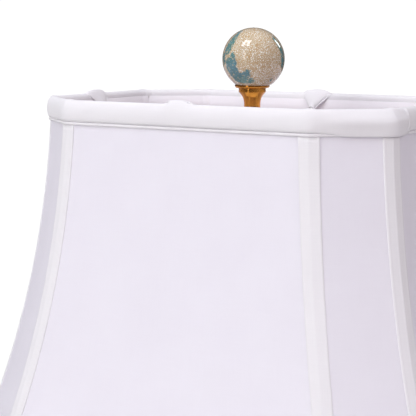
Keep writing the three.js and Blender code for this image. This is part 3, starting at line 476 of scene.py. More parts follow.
BALL_BACK_SIZES = (0.11, 0.2)
BALL_ASIDE = 0.7 * MM  # how far the ball sits to the right of its neck
BALL_DOWN = 0.8 * MM
EDGE_COARSE = 3.4 * MM  # how ragged the edge of the brushwork is
EDGE_FINE = 1.6 * MM
EDGE_FADE = 0.45 * MM


def ball_lean():
    """The hand-made ball doesn't sit quite true on its neck."""
    return Vector((math.cos(CAMERA_TURN) * BALL_ASIDE, math.sin(CAMERA_TURN) * BALL_ASIDE, -BALL_DOWN))


def ball_dabs():
    """The dabs as (centre, radius), those of BALL_DABS and then a wandering string round the back."""
    right = Vector((math.cos(CAMERA_TURN), math.sin(CAMERA_TURN), 0))
    near = Vector((math.sin(CAMERA_TURN), -math.cos(CAMERA_TURN), 0))
    dabs = []
    for across, up, size in BALL_DABS:
        depth = math.sqrt(max(0.0, 1 - across * across - up * up))
        way = (right * across + near * depth + Vector((0, 0, up))).normalized()
        dabs.append((BALL_CENTRE + ball_lean() + way * BALL_RADIUS, size * BALL_RADIUS))
    wander = random.Random(BALL_BACK_SEED)
    way = Vector((-0.2, 1, 0.3)).normalized()
    for _ in range(BALL_BACK_DABS):
        turn = Vector((wander.uniform(-1, 1), wander.uniform(-0.2, 0.6), wander.uniform(-1, 1)))
        way = (way + turn * BALL_BACK_STEP).normalized()
        if way.dot(near) < 0.1:
            size = wander.uniform(*BALL_BACK_SIZES)
            dabs.append((BALL_CENTRE + way * BALL_RADIUS, size * BALL_RADIUS))
    return dabs


def paint_ball(g):
    """The union of round dabs with a ragged edge."""
    where = g.coords()
    coarse = g.minus(g.noise(where, 260.0, 4.0, 0.7), 0.5)
    fine = g.minus(g.noise(where, 1100.0, 2.0), 0.5)
    ragged = g.plus(g.times(coarse, EDGE_COARSE), g.times(fine, EDGE_FINE))
    mask = 0.0
    for centre, size in ball_dabs():
        away = g.node("VectorMath", {0: where, 1: centre}, operation="DISTANCE")
        inside = g.minus(size, g.plus(away.outputs["Value"], ragged))
        mask = g.math("MAXIMUM", g.times(inside, 1 / EDGE_FADE, clamp=True), mask)
    return mask


def paint_vase(g):
    """Blossom-like clouds of brushwork all over the vase."""
    where = g.coords()
    big = g.noise(where, 13.0, 3.0, 0.55, 0.6)
    small = g.noise(where, 70.0, 3.0, 0.6)
    blots = g.plus(big, g.times(g.minus(small, 0.5), 0.16))
    return g.ramp(blots, (0.575, 0.0), (0.585, 1.0))


# ---- mesh helpers
def new_piece(name, mesh, material, body, slot, *nodes):
    piece = add_object(name, mesh)
    mesh.materials.append(material)
    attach(piece, body)
    if nodes:
        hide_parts(*nodes)
    return piece


def grid_mesh(name, grid, loop=False):
    """A smooth sheet through rows of points, with UVs in metres. A loop's rows close on themselves."""
    rows, columns = len(grid), len(grid[0])
    spans = columns if loop else columns - 1
    cells = [(r, c) for r in range(rows - 1) for c in range(spans)]
    faces = []
    for r, c in cells:
        here, beside = r * columns + c, r * columns + (c + 1) % columns
        faces.append((here, here + columns, beside + columns, beside))
    mesh = bpy.data.meshes.new(name)
    mesh.from_pydata([tuple(p) for row in grid for p in row], [], faces)
    middle = grid[rows // 2]
    us = [0.0]
    for c in range(spans):
        us.append(us[-1] + (middle[(c + 1) % columns] - middle[c]).length)
    column = [row[columns // 2] for row in grid]
    vs = [0.0]
    for a, b in zip(column, column[1:]):
        vs.append(vs[-1] + (b - a).length)
    uv = mesh.uv_layers.new(name="UVMap").data
    for cell, (r, c) in enumerate(cells):
        for k, (row, col) in enumerate(((r, c), (r + 1, c), (r + 1, c + 1), (r, c + 1))):
            uv[4 * cell + k].uv = (us[col], vs[row])
    mesh.shade_smooth()
    mesh.update()
    return mesh


def cloth(name, grid, material, slot, nodes, thickness, rests_on, loop=False, held="stretched"):
    """A sheet of fabric on the shade, with a thickness given inwards."""
    mesh = grid_mesh(name, grid, loop)
    piece = new_piece(name, mesh, material, "shade", slot, *nodes)
    solid = piece.modifiers.new("thickness", "SOLIDIFY")
    solid.thickness = thickness
    solid.offset = -1


# ---- the shade's outline
def lerp(a, b, t):
    return a + (b - a) * t


def outline(z, out=0.0):
    """The eight corners of the shade's fabric at a height, moved outwards."""
    share = min(1.0, max(0.0, (SHADE_TOP - z) / (SHADE_TOP - SHADE_BOTTOM)))
    flare = BELL_STRAIGHT * share + (1 - BELL_STRAIGHT) * share**BELL_POWER
    half, flat = TOP_HALF.lerp(BOTTOM_HALF, flare), TOP_FLAT.lerp(BOTTOM_FLAT, flare)
    x, y, near_x, near_y = half.x, half.y, flat.x, flat.y
    front, back = [(-near_x, -y), (near_x, -y)], [(near_x, y), (-near_x, y)]
    places = [*front, (x, -near_y), (x, near_y), *back, (-x, near_y), (-x, -near_y)]
    plan = [Vector(place) for place in places]
    moved = []
    for i, corner in enumerate(plan):
        before = (corner - plan[i - 1]).normalized()
        after = (plan[(i + 1) % CORNERS] - corner).normalized()
        a, b = Vector((before.y, -before.x)), Vector((after.y, -after.x))
        mitre = (a + b) * (out / (1 + a.dot(b)))
        moved.append(Vector((corner.x + mitre.x, corner.y + mitre.y, z)))
    return moved


def rounded_outline(z, out, radius, flat_steps, arc_steps):
    """The outline with soft corners, as (point, corner share) in order round the shade.

    The corner share is 1 at the middle of a corner and 0 on the flats.
    """
    corners = outline(z, out)
    points = []
    for i, corner in enumerate(corners):
        before, after = corners[i - 1], corners[(i + 1) % CORNERS]
        start = corner + (before - corner).normalized() * radius
        end = corner + (after - corner).normalized() * radius
        for k in range(arc_steps + 1):
            t = k / arc_steps
            bend = start * (1 - t) ** 2 + corner * 2 * t * (1 - t) + end * t * t
            points.append((bend, math.sin(math.pi * t)))
        following = after + (corner - after).normalized() * radius
        for k in range(1, flat_steps):
            points.append((end.lerp(following, k / flat_steps), 0.0))
    return points


def levels(top, bottom, steps):
    return [lerp(top, bottom, i / steps) for i in range(steps + 1)]


SIDES = ["front", "front_right", "right", "back_right", "back", "back_left", "left", "front_left"]
PANEL_BOW = 0.9 * MM  # how far the stretched cloth bows out between the ribs
PANEL_PULL = 0.12 * MM  # how unevenly it is stretched
PANEL_MARGIN = 3 * MM  # where it starts under the bound edges
PANEL_STEPS = (46, 40)
SILK_THICKNESS = 0.4 * MM
CORNER_SOFTNESS = 7 * MM  # how far from a rib the cloth starts to bend round it
CORNER_DROP = 0.9 * MM  # how far the bend lies inside the sharp corner


def corner_drop(distance):
    """How far the cloth lies inside its flat plane, at a distance from the rib."""
    return CORNER_DROP * max(0.0, 1 - distance / CORNER_SOFTNESS) ** 2


def make_panels(material):
    rows, columns = PANEL_STEPS
    heights = levels(SHADE_TOP - PANEL_MARGIN, SHADE_BOTTOM + PANEL_MARGIN, rows)
    for side, name in enumerate(SIDES):
        node = f"corner_panel_{name}" if "_" in name else f"panel_{name}"
        grid = []
        for r, z in enumerate(heights):
            corners = outline(z)
            a, b = corners[side], corners[(side + 1) % CORNERS]
            width = (b - a).length
            along = (b - a) / width
            outwards = Vector((along.y, -along.x, 0))
            row = []
            for c in range(columns + 1):
                t = 0.5 - 0.5 * math.cos(math.pi * c / columns)
                bow = PANEL_BOW * math.sin(math.pi * t) * math.sin(math.pi * r / rows)
                pull = noise.noise(Vector((t * 7 + side * 11, r / rows * 1.6, 4.2))) * PANEL_PULL
                drop = corner_drop(t * width) + corner_drop((1 - t) * width)
                row.append(a.lerp(b, t) + outwards * (bow + pull * math.sin(math.pi * t) - drop))
            grid.append(row)
        rings = ["top_ring", "bottom_ring"]
        cloth(f"silk_{node}", grid, material, "silk", [node], SILK_THICKNESS, rings)


TRIM_HALF_WIDTH = 6.3 * MM
TRIM_STEPS = (60, 32)
TRIM_START = 13.9 * MM  # below the top, under the piping
TRIM_OVERLAP = 1 * MM  # how far it runs in under the bottom band
TRIM_WANDER = 0.035
TRIM_THICKNESS = 0.3 * MM


def trim_height(u):
    """How high the tape stands above the cloth, across its width from -1 to 1."""
    body = 0.42 + 0.3 * abs(u) ** 2 + 0.12 * math.exp(-((abs(u) - 0.82) ** 2) / 0.006)
    edge = min(1.0, (1 - abs(u)) / 0.05)
    return (body * edge**0.5 - 0.08) * MM


def make_rib_trims(material):
    """Folded tapes over the ribs, bent softly round them, with turned-in edges."""
    rows, columns = TRIM_STEPS
    heights = levels(SHADE_TOP - TRIM_START, SHADE_BOTTOM + BAND_HEIGHT - TRIM_OVERLAP, rows)
    for corner in range(CORNERS):
        grid = []
        for r, z in enumerate(heights):
            ring = outline(z)
            here = ring[corner]
            before = (ring[corner - 1] - here).normalized()
            after = (ring[(corner + 1) % CORNERS] - here).normalized()
            wander = noise.noise(Vector((corner * 5.3, r * 0.12, 1.7))) * TRIM_WANDER
            row = []
            for c in range(columns + 1):
                u = math.sin(math.pi * (c / columns - 0.5))
                way = before if u < 0 else after
                face = Vector((way.y, -way.x, 0)) * (-1 if u < 0 else 1)
                reach = abs(u + wander * (1 - u * u)) * TRIM_HALF_WIDTH
                row.append(here + way * reach + face * (trim_height(u) - corner_drop(reach)))
            grid.append(row)
        number = corner + 1
        name, node, rib = f"trim_tape_{number}", f"rib_trim_{number}", f"rib_{number}"
        cloth(name, grid, material, "trim", [node], TRIM_THICKNESS, [rib])


# ---- the bound edges
# The puffed tape's section, (outwards, down) in millimetres from the fabric's top edge.
BAND_PROFILE = [
    (-0.1, 11.8), (0.6, 12.7), (1.3, 12.5), (1.85, 11.5), (2.25, 10.0), (2.5, 8.2),
    (2.55, 6.3), (2.4, 4.5), (2.05, 3.0), (1.45, 1.6), (0.6, 0.55), (-0.4, 0.08),
    (-1.6, 0.0), (-2.9, 0.2), (-4.0, 0.9), (-4.7, 2.1), (-4.95, 3.6), (-5.0, 5.2),
]
PROFILE_STEPS = 3
BAND_THICKNESS = 0.4 * MM
BAND_CORNER = 5 * MM
BAND_FLAT_STEPS = 60
BAND_ARC_STEPS = 10
BAND_RUFFLE = 0.14 * MM
ARM_SWELL = 2.0 * MM  # how far a tab inside the edge lifts the tape over it
ARM_SWELL_WIDTH = 7 * MM
RIB_SWELL = 0.5 * MM
SWELL_DEPTH = 7  # millimetres below the top where the tape lies flat again
PIPING_RADIUS = 1.0
PIPING_REACH = 0.95
PIPING_STEPS = 8
PIPING_RUFFLE = 0.08 * MM
# The spider's arms, bent a little by hand: (side, reach to the cloth, direction).
ARMS = [
    ("front", TOP_HALF.y, math.radians(-91.8)),
    ("right", TOP_HALF.x, math.radians(2.2)),
    ("back", TOP_HALF.y, math.radians(87.4)),
    ("left", TOP_HALF.x, math.radians(182.4)),
]


def swell(point):
    """How far the tape is lifted at a place along the top edge by a tab under it."""
    flat = Vector((point.x, point.y))
    lift = 0.0
    for _, _, turn in ARMS:
        way = Vector((math.cos(turn), math.sin(turn)))
        across = flat.x * way.y - flat.y * way.x
        if flat.dot(way) > 0:
            lift = max(lift, ARM_SWELL * math.exp(-((across / ARM_SWELL_WIDTH) ** 4)))
    return lift


PLEAT_CORNERS = {0: 1.0, 1: 0.15, 2: 0.5, 3: 0.7, 4: 0.8, 5: 0.6, 6: 0.9, 7: 0.4}  # depth at each
PLEAT_REACH = 12 * MM


def pleat(point, ring, down):
    """The small slanting fold where the tape is taken round a corner."""
    height = 0.0
    for corner, share in PLEAT_CORNERS.items():
        if (point - ring[corner]).length < PLEAT_REACH:
            along = (ring[(corner + 1) % CORNERS] - ring[corner]).normalized()
            s = (point - ring[corner]).dot(along) / MM + 1.2 - 0.22 * (down - 2)
            fade = max(0.0, 1 - max(0.0, down - 1) / 8)
            fold = 0.42 * math.exp(-((s / 0.9) ** 2)) - 0.35 * math.exp(-(((s - 1.7) / 0.8) ** 2))
            height += share * fade * fold
    return height * MM


SAG_CORNER = 1  # the tape hangs lower between this corner and the next
SAG_DOWN = 2.3 * MM
SAG_OUT = 0.6 * MM
SAG_BULGE = 1.5 * MM  # how far the middle of the hanging stretch puffs out
SAG_END = 20 * MM  # how far past the next corner it goes on
SAG_ASIDE = 5 * MM  # how far off the flat between the corners still counts


def smooth_step(low, high, value):
    t = min(1.0, max(0.0, (value - low) / (high - low)))
    return t * t * (3 - 2 * t)


def sag(point, ring):
    """How much the loose stretch of the top tape hangs down, from 0 to 1."""
    a, b = ring[SAG_CORNER], ring[SAG_CORNER + 1]
    along = (b - a).normalized()
    aside = abs((point - a).cross(along).length)
    share = (point - a).dot(along) / (b - a).length
    away = (point - b).length
    if share > 0.9 and away < SAG_END:
        return 1 - smooth_step(0.4 * SAG_END, SAG_END, away)
    if aside < SAG_ASIDE and share < 1:
        return smooth_step(0.05, 0.55, share)
    return 0.0


def band_grid(profile, edge, way, seed, ruffle=BAND_RUFFLE, lifted=False):
    """A bound edge: the profile carried round the outline, with the small slant creases of bias tape.

    The profile's second value runs down from the top edge (way -1) or up from the bottom one (way 1).
    """
    points = smooth_path([Vector((out, down, 0)) for out, down in profile], PROFILE_STEPS)
    profile_depth = max(down for _, down in profile)
    grid = []
    for out, down, _ in points:
        z = edge + way * (down * MM)
        row = []
        around = rounded_outline(z, out * MM, BAND_CORNER, BAND_FLAT_STEPS, BAND_ARC_STEPS)
        centre, ring = Vector((0, 0, z)), outline(z)
        high = max(0.0, 1 - down / SWELL_DEPTH) ** 1.5 if lifted else 0.0
        for point, corner_share in around:
            slant = noise.noise(Vector((point.x * 70 + down * 0.3, point.y * 70, seed)))
            soft = noise.noise(Vector((point.x * 20, point.y * 20, seed + 5 + down * 0.05)))
            lift = (slant * 0.45 + soft * 1.1) * ruffle * (1 + corner_share)
            moved = point + (point - centre).normalized() * lift * (1 if out > -3 else 0.3)
            moved.z += high * (swell(point) + RIB_SWELL * corner_share**2)
            if lifted:
                slack = sag(point, ring) if out > -0.5 else 0.0
                loose = slack * (down / profile_depth) ** 2
                puff = slack * math.exp(-(((down - 6) / 3) ** 2))
                moved.z -= SAG_DOWN * loose
                shift = pleat(point, ring, down) + SAG_OUT * loose + SAG_BULGE * puff
                moved += (point - centre).normalized() * shift
            row.append(moved)
        grid.append(row)
    return grid


def make_band(name, node, ring, grid, material):
    cloth(name, grid, material, "trim", [node], BAND_THICKNESS, [ring], loop=True)


def make_bands(material):
    top = band_grid(BAND_PROFILE[::-1], SHADE_TOP, -1, 1.0, lifted=True)
    make_band("bias_band_top", "top_band", "top_ring", top, material)
    bottom = band_grid(BAND_PROFILE, SHADE_BOTTOM, 1, 2.0)
    make_band("bias_band_bottom", "bottom_band", "bottom_ring", bottom, material)
    make_piping(material)
    make_lap(material)


def make_piping(material):
    """The narrow rolled cord cover that shows under the top band."""
    middle = BAND_HEIGHT / MM + PIPING_RADIUS
    section = []
    for k in range(PIPING_STEPS + 1):
        angle = math.pi * k / PIPING_STEPS
        down = middle - PIPING_RADIUS * math.cos(angle)
        section.append((0.2 + PIPING_REACH * math.sin(angle), down))
    grid = band_grid(section, SHADE_TOP, -1, 3.0, PIPING_RUFFLE)
    mesh = grid_mesh("piping_under_band", grid, True)
    cord = new_piece("piping_under_band", mesh, material, "shade", "trim", "top_piping")
    cord.modifiers.new("thickness", "SOLIDIFY").thickness = BAND_THICKNESS


LAP_CORNER = 2  # the tape's end lies just past this corner of the outline
LAP_START = 6.4 * MM
LAP_LENGTH = 22 * MM
LAP_STEPS = 30
LAP_HEIGHT = 1.3 * MM
LAP_SINK = 0.3 * MM
LAP_ROLL = 0.12  # where the roll is along the lap, as a share of it
LAP_ROLL_WIDTH = 0.085
LAP_SLANT = 0.1
LAP_THICKNESS = 0.3 * MM


def make_lap(material):
    """The folded end of the top tape, laid over its start: a narrow roll, then flat."""
    outer_side = BAND_PROFILE[::-1][4:-1]
    section = [Vector((out, down, 0)) for out, down in outer_side]
    grid = []
    for out, down, _ in smooth_path(section, PROFILE_STEPS):
        z = SHADE_TOP - down * MM
        row = []
        for k in range(LAP_STEPS + 1):
            t = (k / LAP_STEPS) ** 1.5
            roll = math.exp(-(((t - LAP_ROLL) / LAP_ROLL_WIDTH) ** 2))
            roll += 0.25 * min(1.0, t / LAP_ROLL) * (1 - t)
            corners = outline(z, out * MM + LAP_HEIGHT * roll - LAP_SINK)
            a, b = corners[LAP_CORNER], corners[(LAP_CORNER + 1) % CORNERS]
            slant = (down - 5) * LAP_SLANT * MM
            along = LAP_START + BAND_CORNER + slant + t * LAP_LENGTH
            row.append(a + (b - a).normalized() * along)
        grid.append(row)
    band = ["top_band"]
    cloth("bias_band_lap", grid, material, "trim", band, LAP_THICKNESS, band, held="folded")


LINING_INSET = 4.85 * MM
LINING_MARGIN = 4 * MM
LINING_CORNER = 3 * MM
LINING_ROWS = 44
LINING_PULL = 0.22 * MM
LINING_THICKNESS = 0.35 * MM
RIB_BUMP = 0.9 * MM


def make_lining(material):
    """The lining hangs inside the ribs and shows each as a narrow ridge."""
    grid = []
    heights = levels(SHADE_TOP - LINING_MARGIN, SHADE_BOTTOM + LINING_MARGIN, LINING_ROWS)
    for r, z in enumerate(heights):
        row = []
        for point, corner_share in rounded_outline(z, -LINING_INSET, LINING_CORNER, 16, 8):
            inwards = -Vector((point.x, point.y, 0)).normalized()
            uneven = noise.noise(Vector((point.x * 40, point.y * 40, z * 7)))
            pull = uneven * LINING_PULL * r / LINING_ROWS
            row.append(point + inwards * (RIB_BUMP * corner_share**2 + pull))
        grid.append(row)
    node, ring = ["lining"], ["top_ring"]
    cloth("lining_cloth", grid, material, "lining", node, LINING_THICKNESS, ring, loop=True)


# ---- spider and the tabs on its arms
TAB_START = 0.8 * MM
TAB_REACH = 9.0 * MM
TAB_ROWS = 30
TAB_COLUMNS = 66
TAB_TURNS = 1.12
TAB_CREST = 2.35  # millimetres above the top, over the swollen tape
TAB_POINT = -8.9
TAB_DEPTH = 2.4  # from the tab's middle to its upper and lower side
TAB_WIDE = 9.8  # half the tab's width over the rim
TAB_NARROW = 2.0
TAB_TAPER = 8.7  # how far the tab's middle comes down while it narrows
TAB_FIRST = math.radians(-32)  # where the strip starts round the arm
TAB_SPIRAL = 0.75
TAB_THICKNESS = 0.35 * MM
TAB_MIRRORED = ("back", "left")  # wound the other way round


def tab_fall(t):
    """How far the tab's upper side has come down from the bound edge to the arm, from 0 to 1."""
    return max(0.0, (t - 0.15) / 0.85) ** 1.5


def tab_top(t):
    """The height of the tab's upper side in millimetres: over the bound edge, then down to the arm."""
    start = 0.5 * max(0.0, 1 - t / 0.12) ** 2
    return lerp(TAB_CREST, TAB_POINT, tab_fall(t)) - start


def tab_row(t, order):
    """One turn of the strip round the arm, at a share of the way from the rim to its point."""
    level = tab_top(t) - TAB_DEPTH
    half_width = lerp(TAB_WIDE, TAB_NARROW, min(1.0, max(0.0, -level / TAB_TAPER)))
    row = []
    for c in range(TAB_COLUMNS + 1):
        share = c / TAB_COLUMNS
        angle = TAB_FIRST - t * TAB_SPIRAL + share * 2 * math.pi * TAB_TURNS
        loose = max(0.0, (share - 0.78) / 0.22) ** 2
        wind = 1 + 0.05 * share + 0.26 * loose * min(1.0, t * 3)
        crease = noise.noise(Vector((share * 4, t * 1.8, order * 3.1 + 1))) * 0.3 * (1 - 0.6 * t)
        across = (half_width * wind + crease) * math.cos(angle)
        up = (TAB_DEPTH * wind + crease) * math.sin(angle)
        row.append((t * TAB_REACH + TAB_START, across * MM, (level + up) * MM))
    return row


def make_tabs(material):
    """A strip of cloth wound round each arm's end: broad over the rim, drawn down to a point."""
    for order, (side, reach, turn) in enumerate(ARMS):
        spin = Matrix.Rotation(turn, 4, "Z")
        hand = -1 if side in TAB_MIRRORED else 1
        grid = []
        for r in range(TAB_ROWS + 1):
            points = [
                spin @ Vector((reach - inwards, across * hand, SHADE_TOP + height))
                for inwards, across, height in tab_row(r / TAB_ROWS, order)
            ]
            grid.append(points[::hand])
        name, node = f"arm_tab_{side}", f"arm_wrap_{side}"
        cloth(name, grid, material, "trim", [node], TAB_THICKNESS, ["spider"], held="folded")


def tube_mesh(name, points, radius, sides=16):
    """A round wire through points that never rise straight up, with flat ends."""
    bm = bmesh.new()
    rings = []
    count = len(points)
    for i, point in enumerate(points):
        before, after = points[max(i - 1, 0)], points[min(i + 1, count - 1)]
        along = (after - before).normalized()
        side = along.cross(Vector((0, 0, 1))).normalized()
        up = side.cross(along).normalized()
        ring = []
        for k in range(sides):
            angle = 2 * math.pi * k / sides
            way = side * math.cos(angle) + up * math.sin(angle)
            ring.append(bm.verts.new(point + way * radius))
        rings.append(ring)
    for a, b in zip(rings, rings[1:]):
        for k in range(sides):
            bm.faces.new((a[k], a[(k + 1) % sides], b[(k + 1) % sides], b[k]))
    bm.faces.new(rings[0][::-1])
    bm.faces.new(rings[-1])
    bmesh.ops.recalc_face_normals(bm, faces=bm.faces)
    mesh = freed_mesh(name, bm)
    mesh.shade_smooth()
    return mesh


def smooth_path(points, steps):
    """Points on a Catmull-Rom curve through the given ones."""
    path = []
    ends = [points[0] * 2 - points[1], *points, points[-1] * 2 - points[-2]]
    for i in range(1, len(ends) - 2):
        a, b, c, d = ends[i - 1 : i + 3]
        bend, twist = 2 * a - 5 * b + 4 * c - d, 3 * b - a - 3 * c + d
        for k in range(steps):
            t = k / steps
            path.append(0.5 * (2 * b + (c - a) * t + bend * t * t + twist * t**3))
    path.append(points[-1].copy())
    return path


def join_meshes(name, meshes):
    bm = bmesh.new()
    for mesh in meshes:
        bm.from_mesh(mesh)
        bpy.data.meshes.remove(mesh)
    return freed_mesh(name, bm)


ARM_DROP = 12.2 * MM  # how far below the top the arms run out of their tabs
ARM_START = 10.8 * MM  # inside the washer's edge
ARM_GAP = 1.6 * MM  # between an arm's end and the cloth
ARM_RADIUS = 1.5 * MM
ARM_STEPS = 8
WASHER_GAP = 0.3 * MM  # under the finial's neck
WASHER_THICKNESS = 2 * MM
# The washer's section, (radius, height) in millimetres from its upper side.
WASHER_PROFILE = [
    (3.8, -2.0), (12.2, -2.0), (12.7, -1.6), (12.7, -0.4), (12.2, 0.0), (4.3, 0.0), (3.8, -0.4),
]


def make_spider(material):
    seat_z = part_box("finial_neck")[0].z - WASHER_GAP
    section = [(radius * MM, seat_z + height * MM) for radius, height in WASHER_PROFILE]
    wires = [revolve("washer", section, True)]
    arm_z = seat_z - WASHER_THICKNESS / 2
    ring_z = SHADE_TOP - RIM_TO_ARM
    low_z = SHADE_TOP - ARM_DROP
    for _, reach, turn in ARMS:
        end = reach - ARM_GAP
        path = [
            (ARM_START, arm_z),
            (end - 30 * MM, arm_z),
            (end - 19 * MM, arm_z + 0.5 * MM),
            (end - 10 * MM, low_z),
            (end - 5.5 * MM, (ring_z + low_z) / 2),
            (end - 2.5 * MM, ring_z),
            (end, ring_z),
        ]
        spin = Matrix.Rotation(turn, 3, "Z")
        points = smooth_path([spin @ Vector((r, 0, z)) for r, z in path], ARM_STEPS)
        wires.append(tube_mesh("arm", points, ARM_RADIUS))
    mesh = join_meshes("spider_wire", wires)
    new_piece("spider_wire", mesh, material, "shade", "frame_wire", "spider")


# ---- turned pieces
TINY = 1e-6
TURNED_CREASE = math.radians(38)  # sharper bends stay sharp


def revolve(name, profile, closed, sides=96):
    """A turned mesh from (radius, height) pairs. An open profile starts and ends on the axis."""
    bm = bmesh.new()
    rings = []
    for radius, height in profile:
        if radius < TINY:
            rings.append([bm.verts.new((0, 0, height))])
            continue
        ring = []
        for k in range(sides):
            angle = 2 * math.pi * k / sides
            ring.append(bm.verts.new((radius * math.cos(angle), radius * math.sin(angle), height)))
        rings.append(ring)
    pairs = list(zip(rings, rings[1:])) + ([(rings[-1], rings[0])] if closed else [])
    for a, b in pairs:
        for k in range(sides):
            n = (k + 1) % sides
            if len(a) == 1 and len(b) == 1:
                continue
            if len(a) == 1:
                bm.faces.new((a[0], b[n], b[k]))
            elif len(b) == 1:
                bm.faces.new((a[k], a[n], b[0]))
            else:
                bm.faces.new((a[k], a[n], b[n], b[k]))
    bmesh.ops.recalc_face_normals(bm, faces=bm.faces)
    mesh = freed_mesh(name, bm)
    mesh.shade_smooth()
    mesh.set_sharp_from_angle(angle=TURNED_CREASE)
    return mesh


def node_profile(node):
    """The outline of a turned CAD node, read off its own mesh as ordered (radius, height) pairs."""
    bm = bmesh.new()
    bm.from_mesh(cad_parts[node].data)
    bmesh.ops.remove_doubles(bm, verts=bm.verts, dist=TINY)
    on_plane = [v for v in bm.verts if abs(v.co.y) < 10 * TINY and v.co.x > -TINY]
    keep = set(on_plane)
    links = {}
    for v in on_plane:
        links[v] = [e.other_vert(v) for e in v.link_edges if e.other_vert(v) in keep]
    ends = [v for v in on_plane if len(links[v]) == 1]
    start = min(ends or on_plane, key=lambda v: v.co.z)
    order, previous, here = [start], None, start
    while True:
        ahead = [v for v in links[here] if v is not previous and (v not in order or v is start)]
        ahead = [v for v in ahead if not (v is start and len(order) < 3)]
        if not ahead or ahead[0] is start:
            break
        previous, here = here, ahead[0]
        order.append(here)
    profile = [(v.co.x, v.co.z) for v in order]
    bm.free()
    return profile, not ends


def rounded_profile(profile, closed, steps=4, sharp=math.radians(40)):
    """The profile with its gentle bends made smooth and its corners kept."""
    points = [Vector(p) for p in profile]
    count = len(points)
    bends = []
    for i, p in enumerate(points):
        if not closed and i in (0, count - 1):
            bends.append(math.pi)
            continue
        a, b = p - points[i - 1], points[(i + 1) % count] - p
        bends.append(a.angle(b, 0.0))
    result = []
    for i in range(count if closed else count - 1):
        j = (i + 1) % count
        a, b, c, d = points[i - 1], points[i], points[j], points[(i + 2) % count]
        chord = (c - b).length
        straight, t0, t1 = (c - b) / chord, (b - a).normalized(), (d - c).normalized()
        t0 = straight if bends[i] > sharp else (t0 + (c - b).normalized()).normalized()
        t1 = straight if bends[j] > sharp else ((c - b).normalized() + t1).normalized()
        for k in range(steps):
            t = k / steps
            h = (2 * t**3 - 3 * t**2 + 1, t**3 - 2 * t**2 + t, -2 * t**3 + 3 * t**2, t**3 - t**2)
            result.append(b * h[0] + t0 * chord * h[1] + c * h[2] + t1 * chord * h[3])
    if not closed:
        result.append(points[-1])
    return [(max(0.0, p.x), p.y) for p in result]


def turned_piece(name, node, material, body, slot, sides=96):
    profile, closed = node_profile(node)
    mesh = revolve(name, rounded_profile(profile, closed), closed, sides)
    return new_piece(name, mesh, material, body, slot, node)


CORD_HOLE = 5.8 * MM
HOLE_DEPTH = 8 * MM  # past the bushing's inner end
FLANGE_GAP = 0.3 * MM
FLANGE_DEPTH = 2.5 * MM
CUTTER_LENGTH = 40 * MM


def cutter_mesh(radius, start, z):
    """A round bar along the y axis, from a start backwards."""
    bm = bmesh.new()
    size = {"radius1": radius, "radius2": radius, "depth": CUTTER_LENGTH}
    bmesh.ops.create_cone(bm, cap_ends=True, segments=48, **size)
    place = Matrix.Translation((0, start + CUTTER_LENGTH / 2, z))
    bm.transform(place @ Matrix.Rotation(math.pi / 2, 4, "X"))
    return freed_mesh("cutter", bm)


def bore_foot(foot):
    """The hole and flat for the cord's bushing, cut through the back of the foot."""
    low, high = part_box("cord_bushing")
    middle = (low + high) / 2
    flange = (high.x - low.x) / 2 + FLANGE_GAP
    for radius, start in ((CORD_HOLE, low.y - HOLE_DEPTH), (flange, high.y - FLANGE_DEPTH)):
        cutter = add_object("cutter", cutter_mesh(radius, start, middle.z))
        cut = foot.modifiers.new("bore", "BOOLEAN")
        cut.operation = "DIFFERENCE"
        cut.solver = "EXACT"
        cut.object = cutter
        graph = bpy.context.evaluated_depsgraph_get()
        result = bpy.data.meshes.new_from_object(foot.evaluated_get(graph))
        foot.modifiers.remove(cut)
        foot.data = result
        bpy.data.objects.remove(cutter)


def polish(node, material, angle=35):
    """Keeps a CAD node, with its facets smoothed and its corners sharp."""
    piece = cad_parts[node]
    piece.data.materials.clear()
    piece.data.materials.append(material)
    with bpy.context.temp_override(object=piece, active_object=piece):
        if piece.data.has_custom_normals:
            bpy.ops.mesh.customdata_custom_splitnormals_clear()
    for face in piece.data.polygons:
        face.use_smooth = True
    weld = piece.modifiers.new("weld", "WELD")
    weld.merge_threshold = TINY
    split = piece.modifiers.new("corners", "EDGE_SPLIT")
    split.split_angle = math.radians(angle)
    return piece


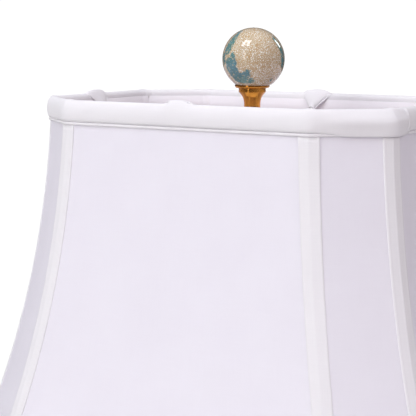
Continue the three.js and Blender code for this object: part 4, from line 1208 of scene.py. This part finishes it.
def make_lamp():
    brass = turned_brass("turned_brass")
    foot_brass = turned_brass("foot_brass", (0.60, 0.31, 0.10), 0.24)
    steel = plain_metal("zinc_steel", (0.62, 0.63, 0.65), 0.38)
    aluminium = plain_metal("bright_aluminium", (0.78, 0.78, 0.79), 0.3)
    enamel = painted_wire()
    phenolic = moulded("brown_phenolic", (0.035, 0.022, 0.016))

    foot = turned_piece("brass_foot", "foot", foot_brass, "base", "brass", 128)
    bore_foot(foot)
    turned_piece("brass_vase_cap", "vase_cap", brass, "base", "brass", 128)
    turned_piece("brass_neck_spool", "neck_spool", brass, "base", "brass")
    vase_glaze = crackle_glaze("vase_glaze", paint_vase, VASE_CELL)
    turned_piece("glazed_vase", "vase", vase_glaze, "base", "porcelain", 160)
    turned_piece("brass_finial_neck", "finial_neck", brass, "finial", "brass")
    ball_glaze = crackle_glaze("ball_glaze", paint_ball, BALL_CELL)
    ball = turned_piece("glazed_finial_ball", "finial_ball", ball_glaze, "finial", "porcelain", 128)
    ball.data.transform(Matrix.Translation(ball_lean()))
    turned_piece("frosted_bulb", "bulb_glass", frosted_glass(), "bulb", "glass")

    for node in ("harp_saddle", "socket_cap", "socket_shell", "harp_top", "switch_shaft"):
        polish(node, brass)
    for node in ("sleeve_left", "sleeve_right"):
        polish(node, brass)
    harp = polish("harp_wire", brass, 60)
    harp.modifiers.remove(harp.modifiers["corners"])
    round_wire = harp.modifiers.new("round", "SUBSURF")
    round_wire.levels = round_wire.render_levels = 2
    for node in ("threaded_rod", "rod_washer", "rod_nut"):
        polish(node, steel)
    for node in ("bulb_screw_cap", "screw_shell"):
        polish(node, aluminium)
    for node in ("switch_knob", "cord_bushing", "socket_core"):
        polish(node, phenolic)
    for node in ("top_ring", "bottom_ring", *(f"rib_{i + 1}" for i in range(CORNERS))):
        polish(node, enamel, 60)
    polish("shell_liner", pressed_fibre())
    polish("felt_pad", felt())
    make_spider(enamel)


def make_shade():
    silk = fabric("silk_satin", (0.89, 0.855, 0.935), (0.86, 0.82, 0.905), gloss=1.0, roughness=0.5)
    tape = fabric("bias_tape", (0.89, 0.86, 0.905), (0.85, 0.82, 0.87), math.pi / 4, roughness=0.8)
    inside = fabric("lining_silk", (0.96, 0.91, 0.97), (0.92, 0.87, 0.93))
    make_panels(silk)
    make_rib_trims(tape)
    make_bands(tape)
    make_lining(inside)
    make_tabs(tape)


place_camera()
light_the_set()
lay_floor()
make_lamp()
make_shade()
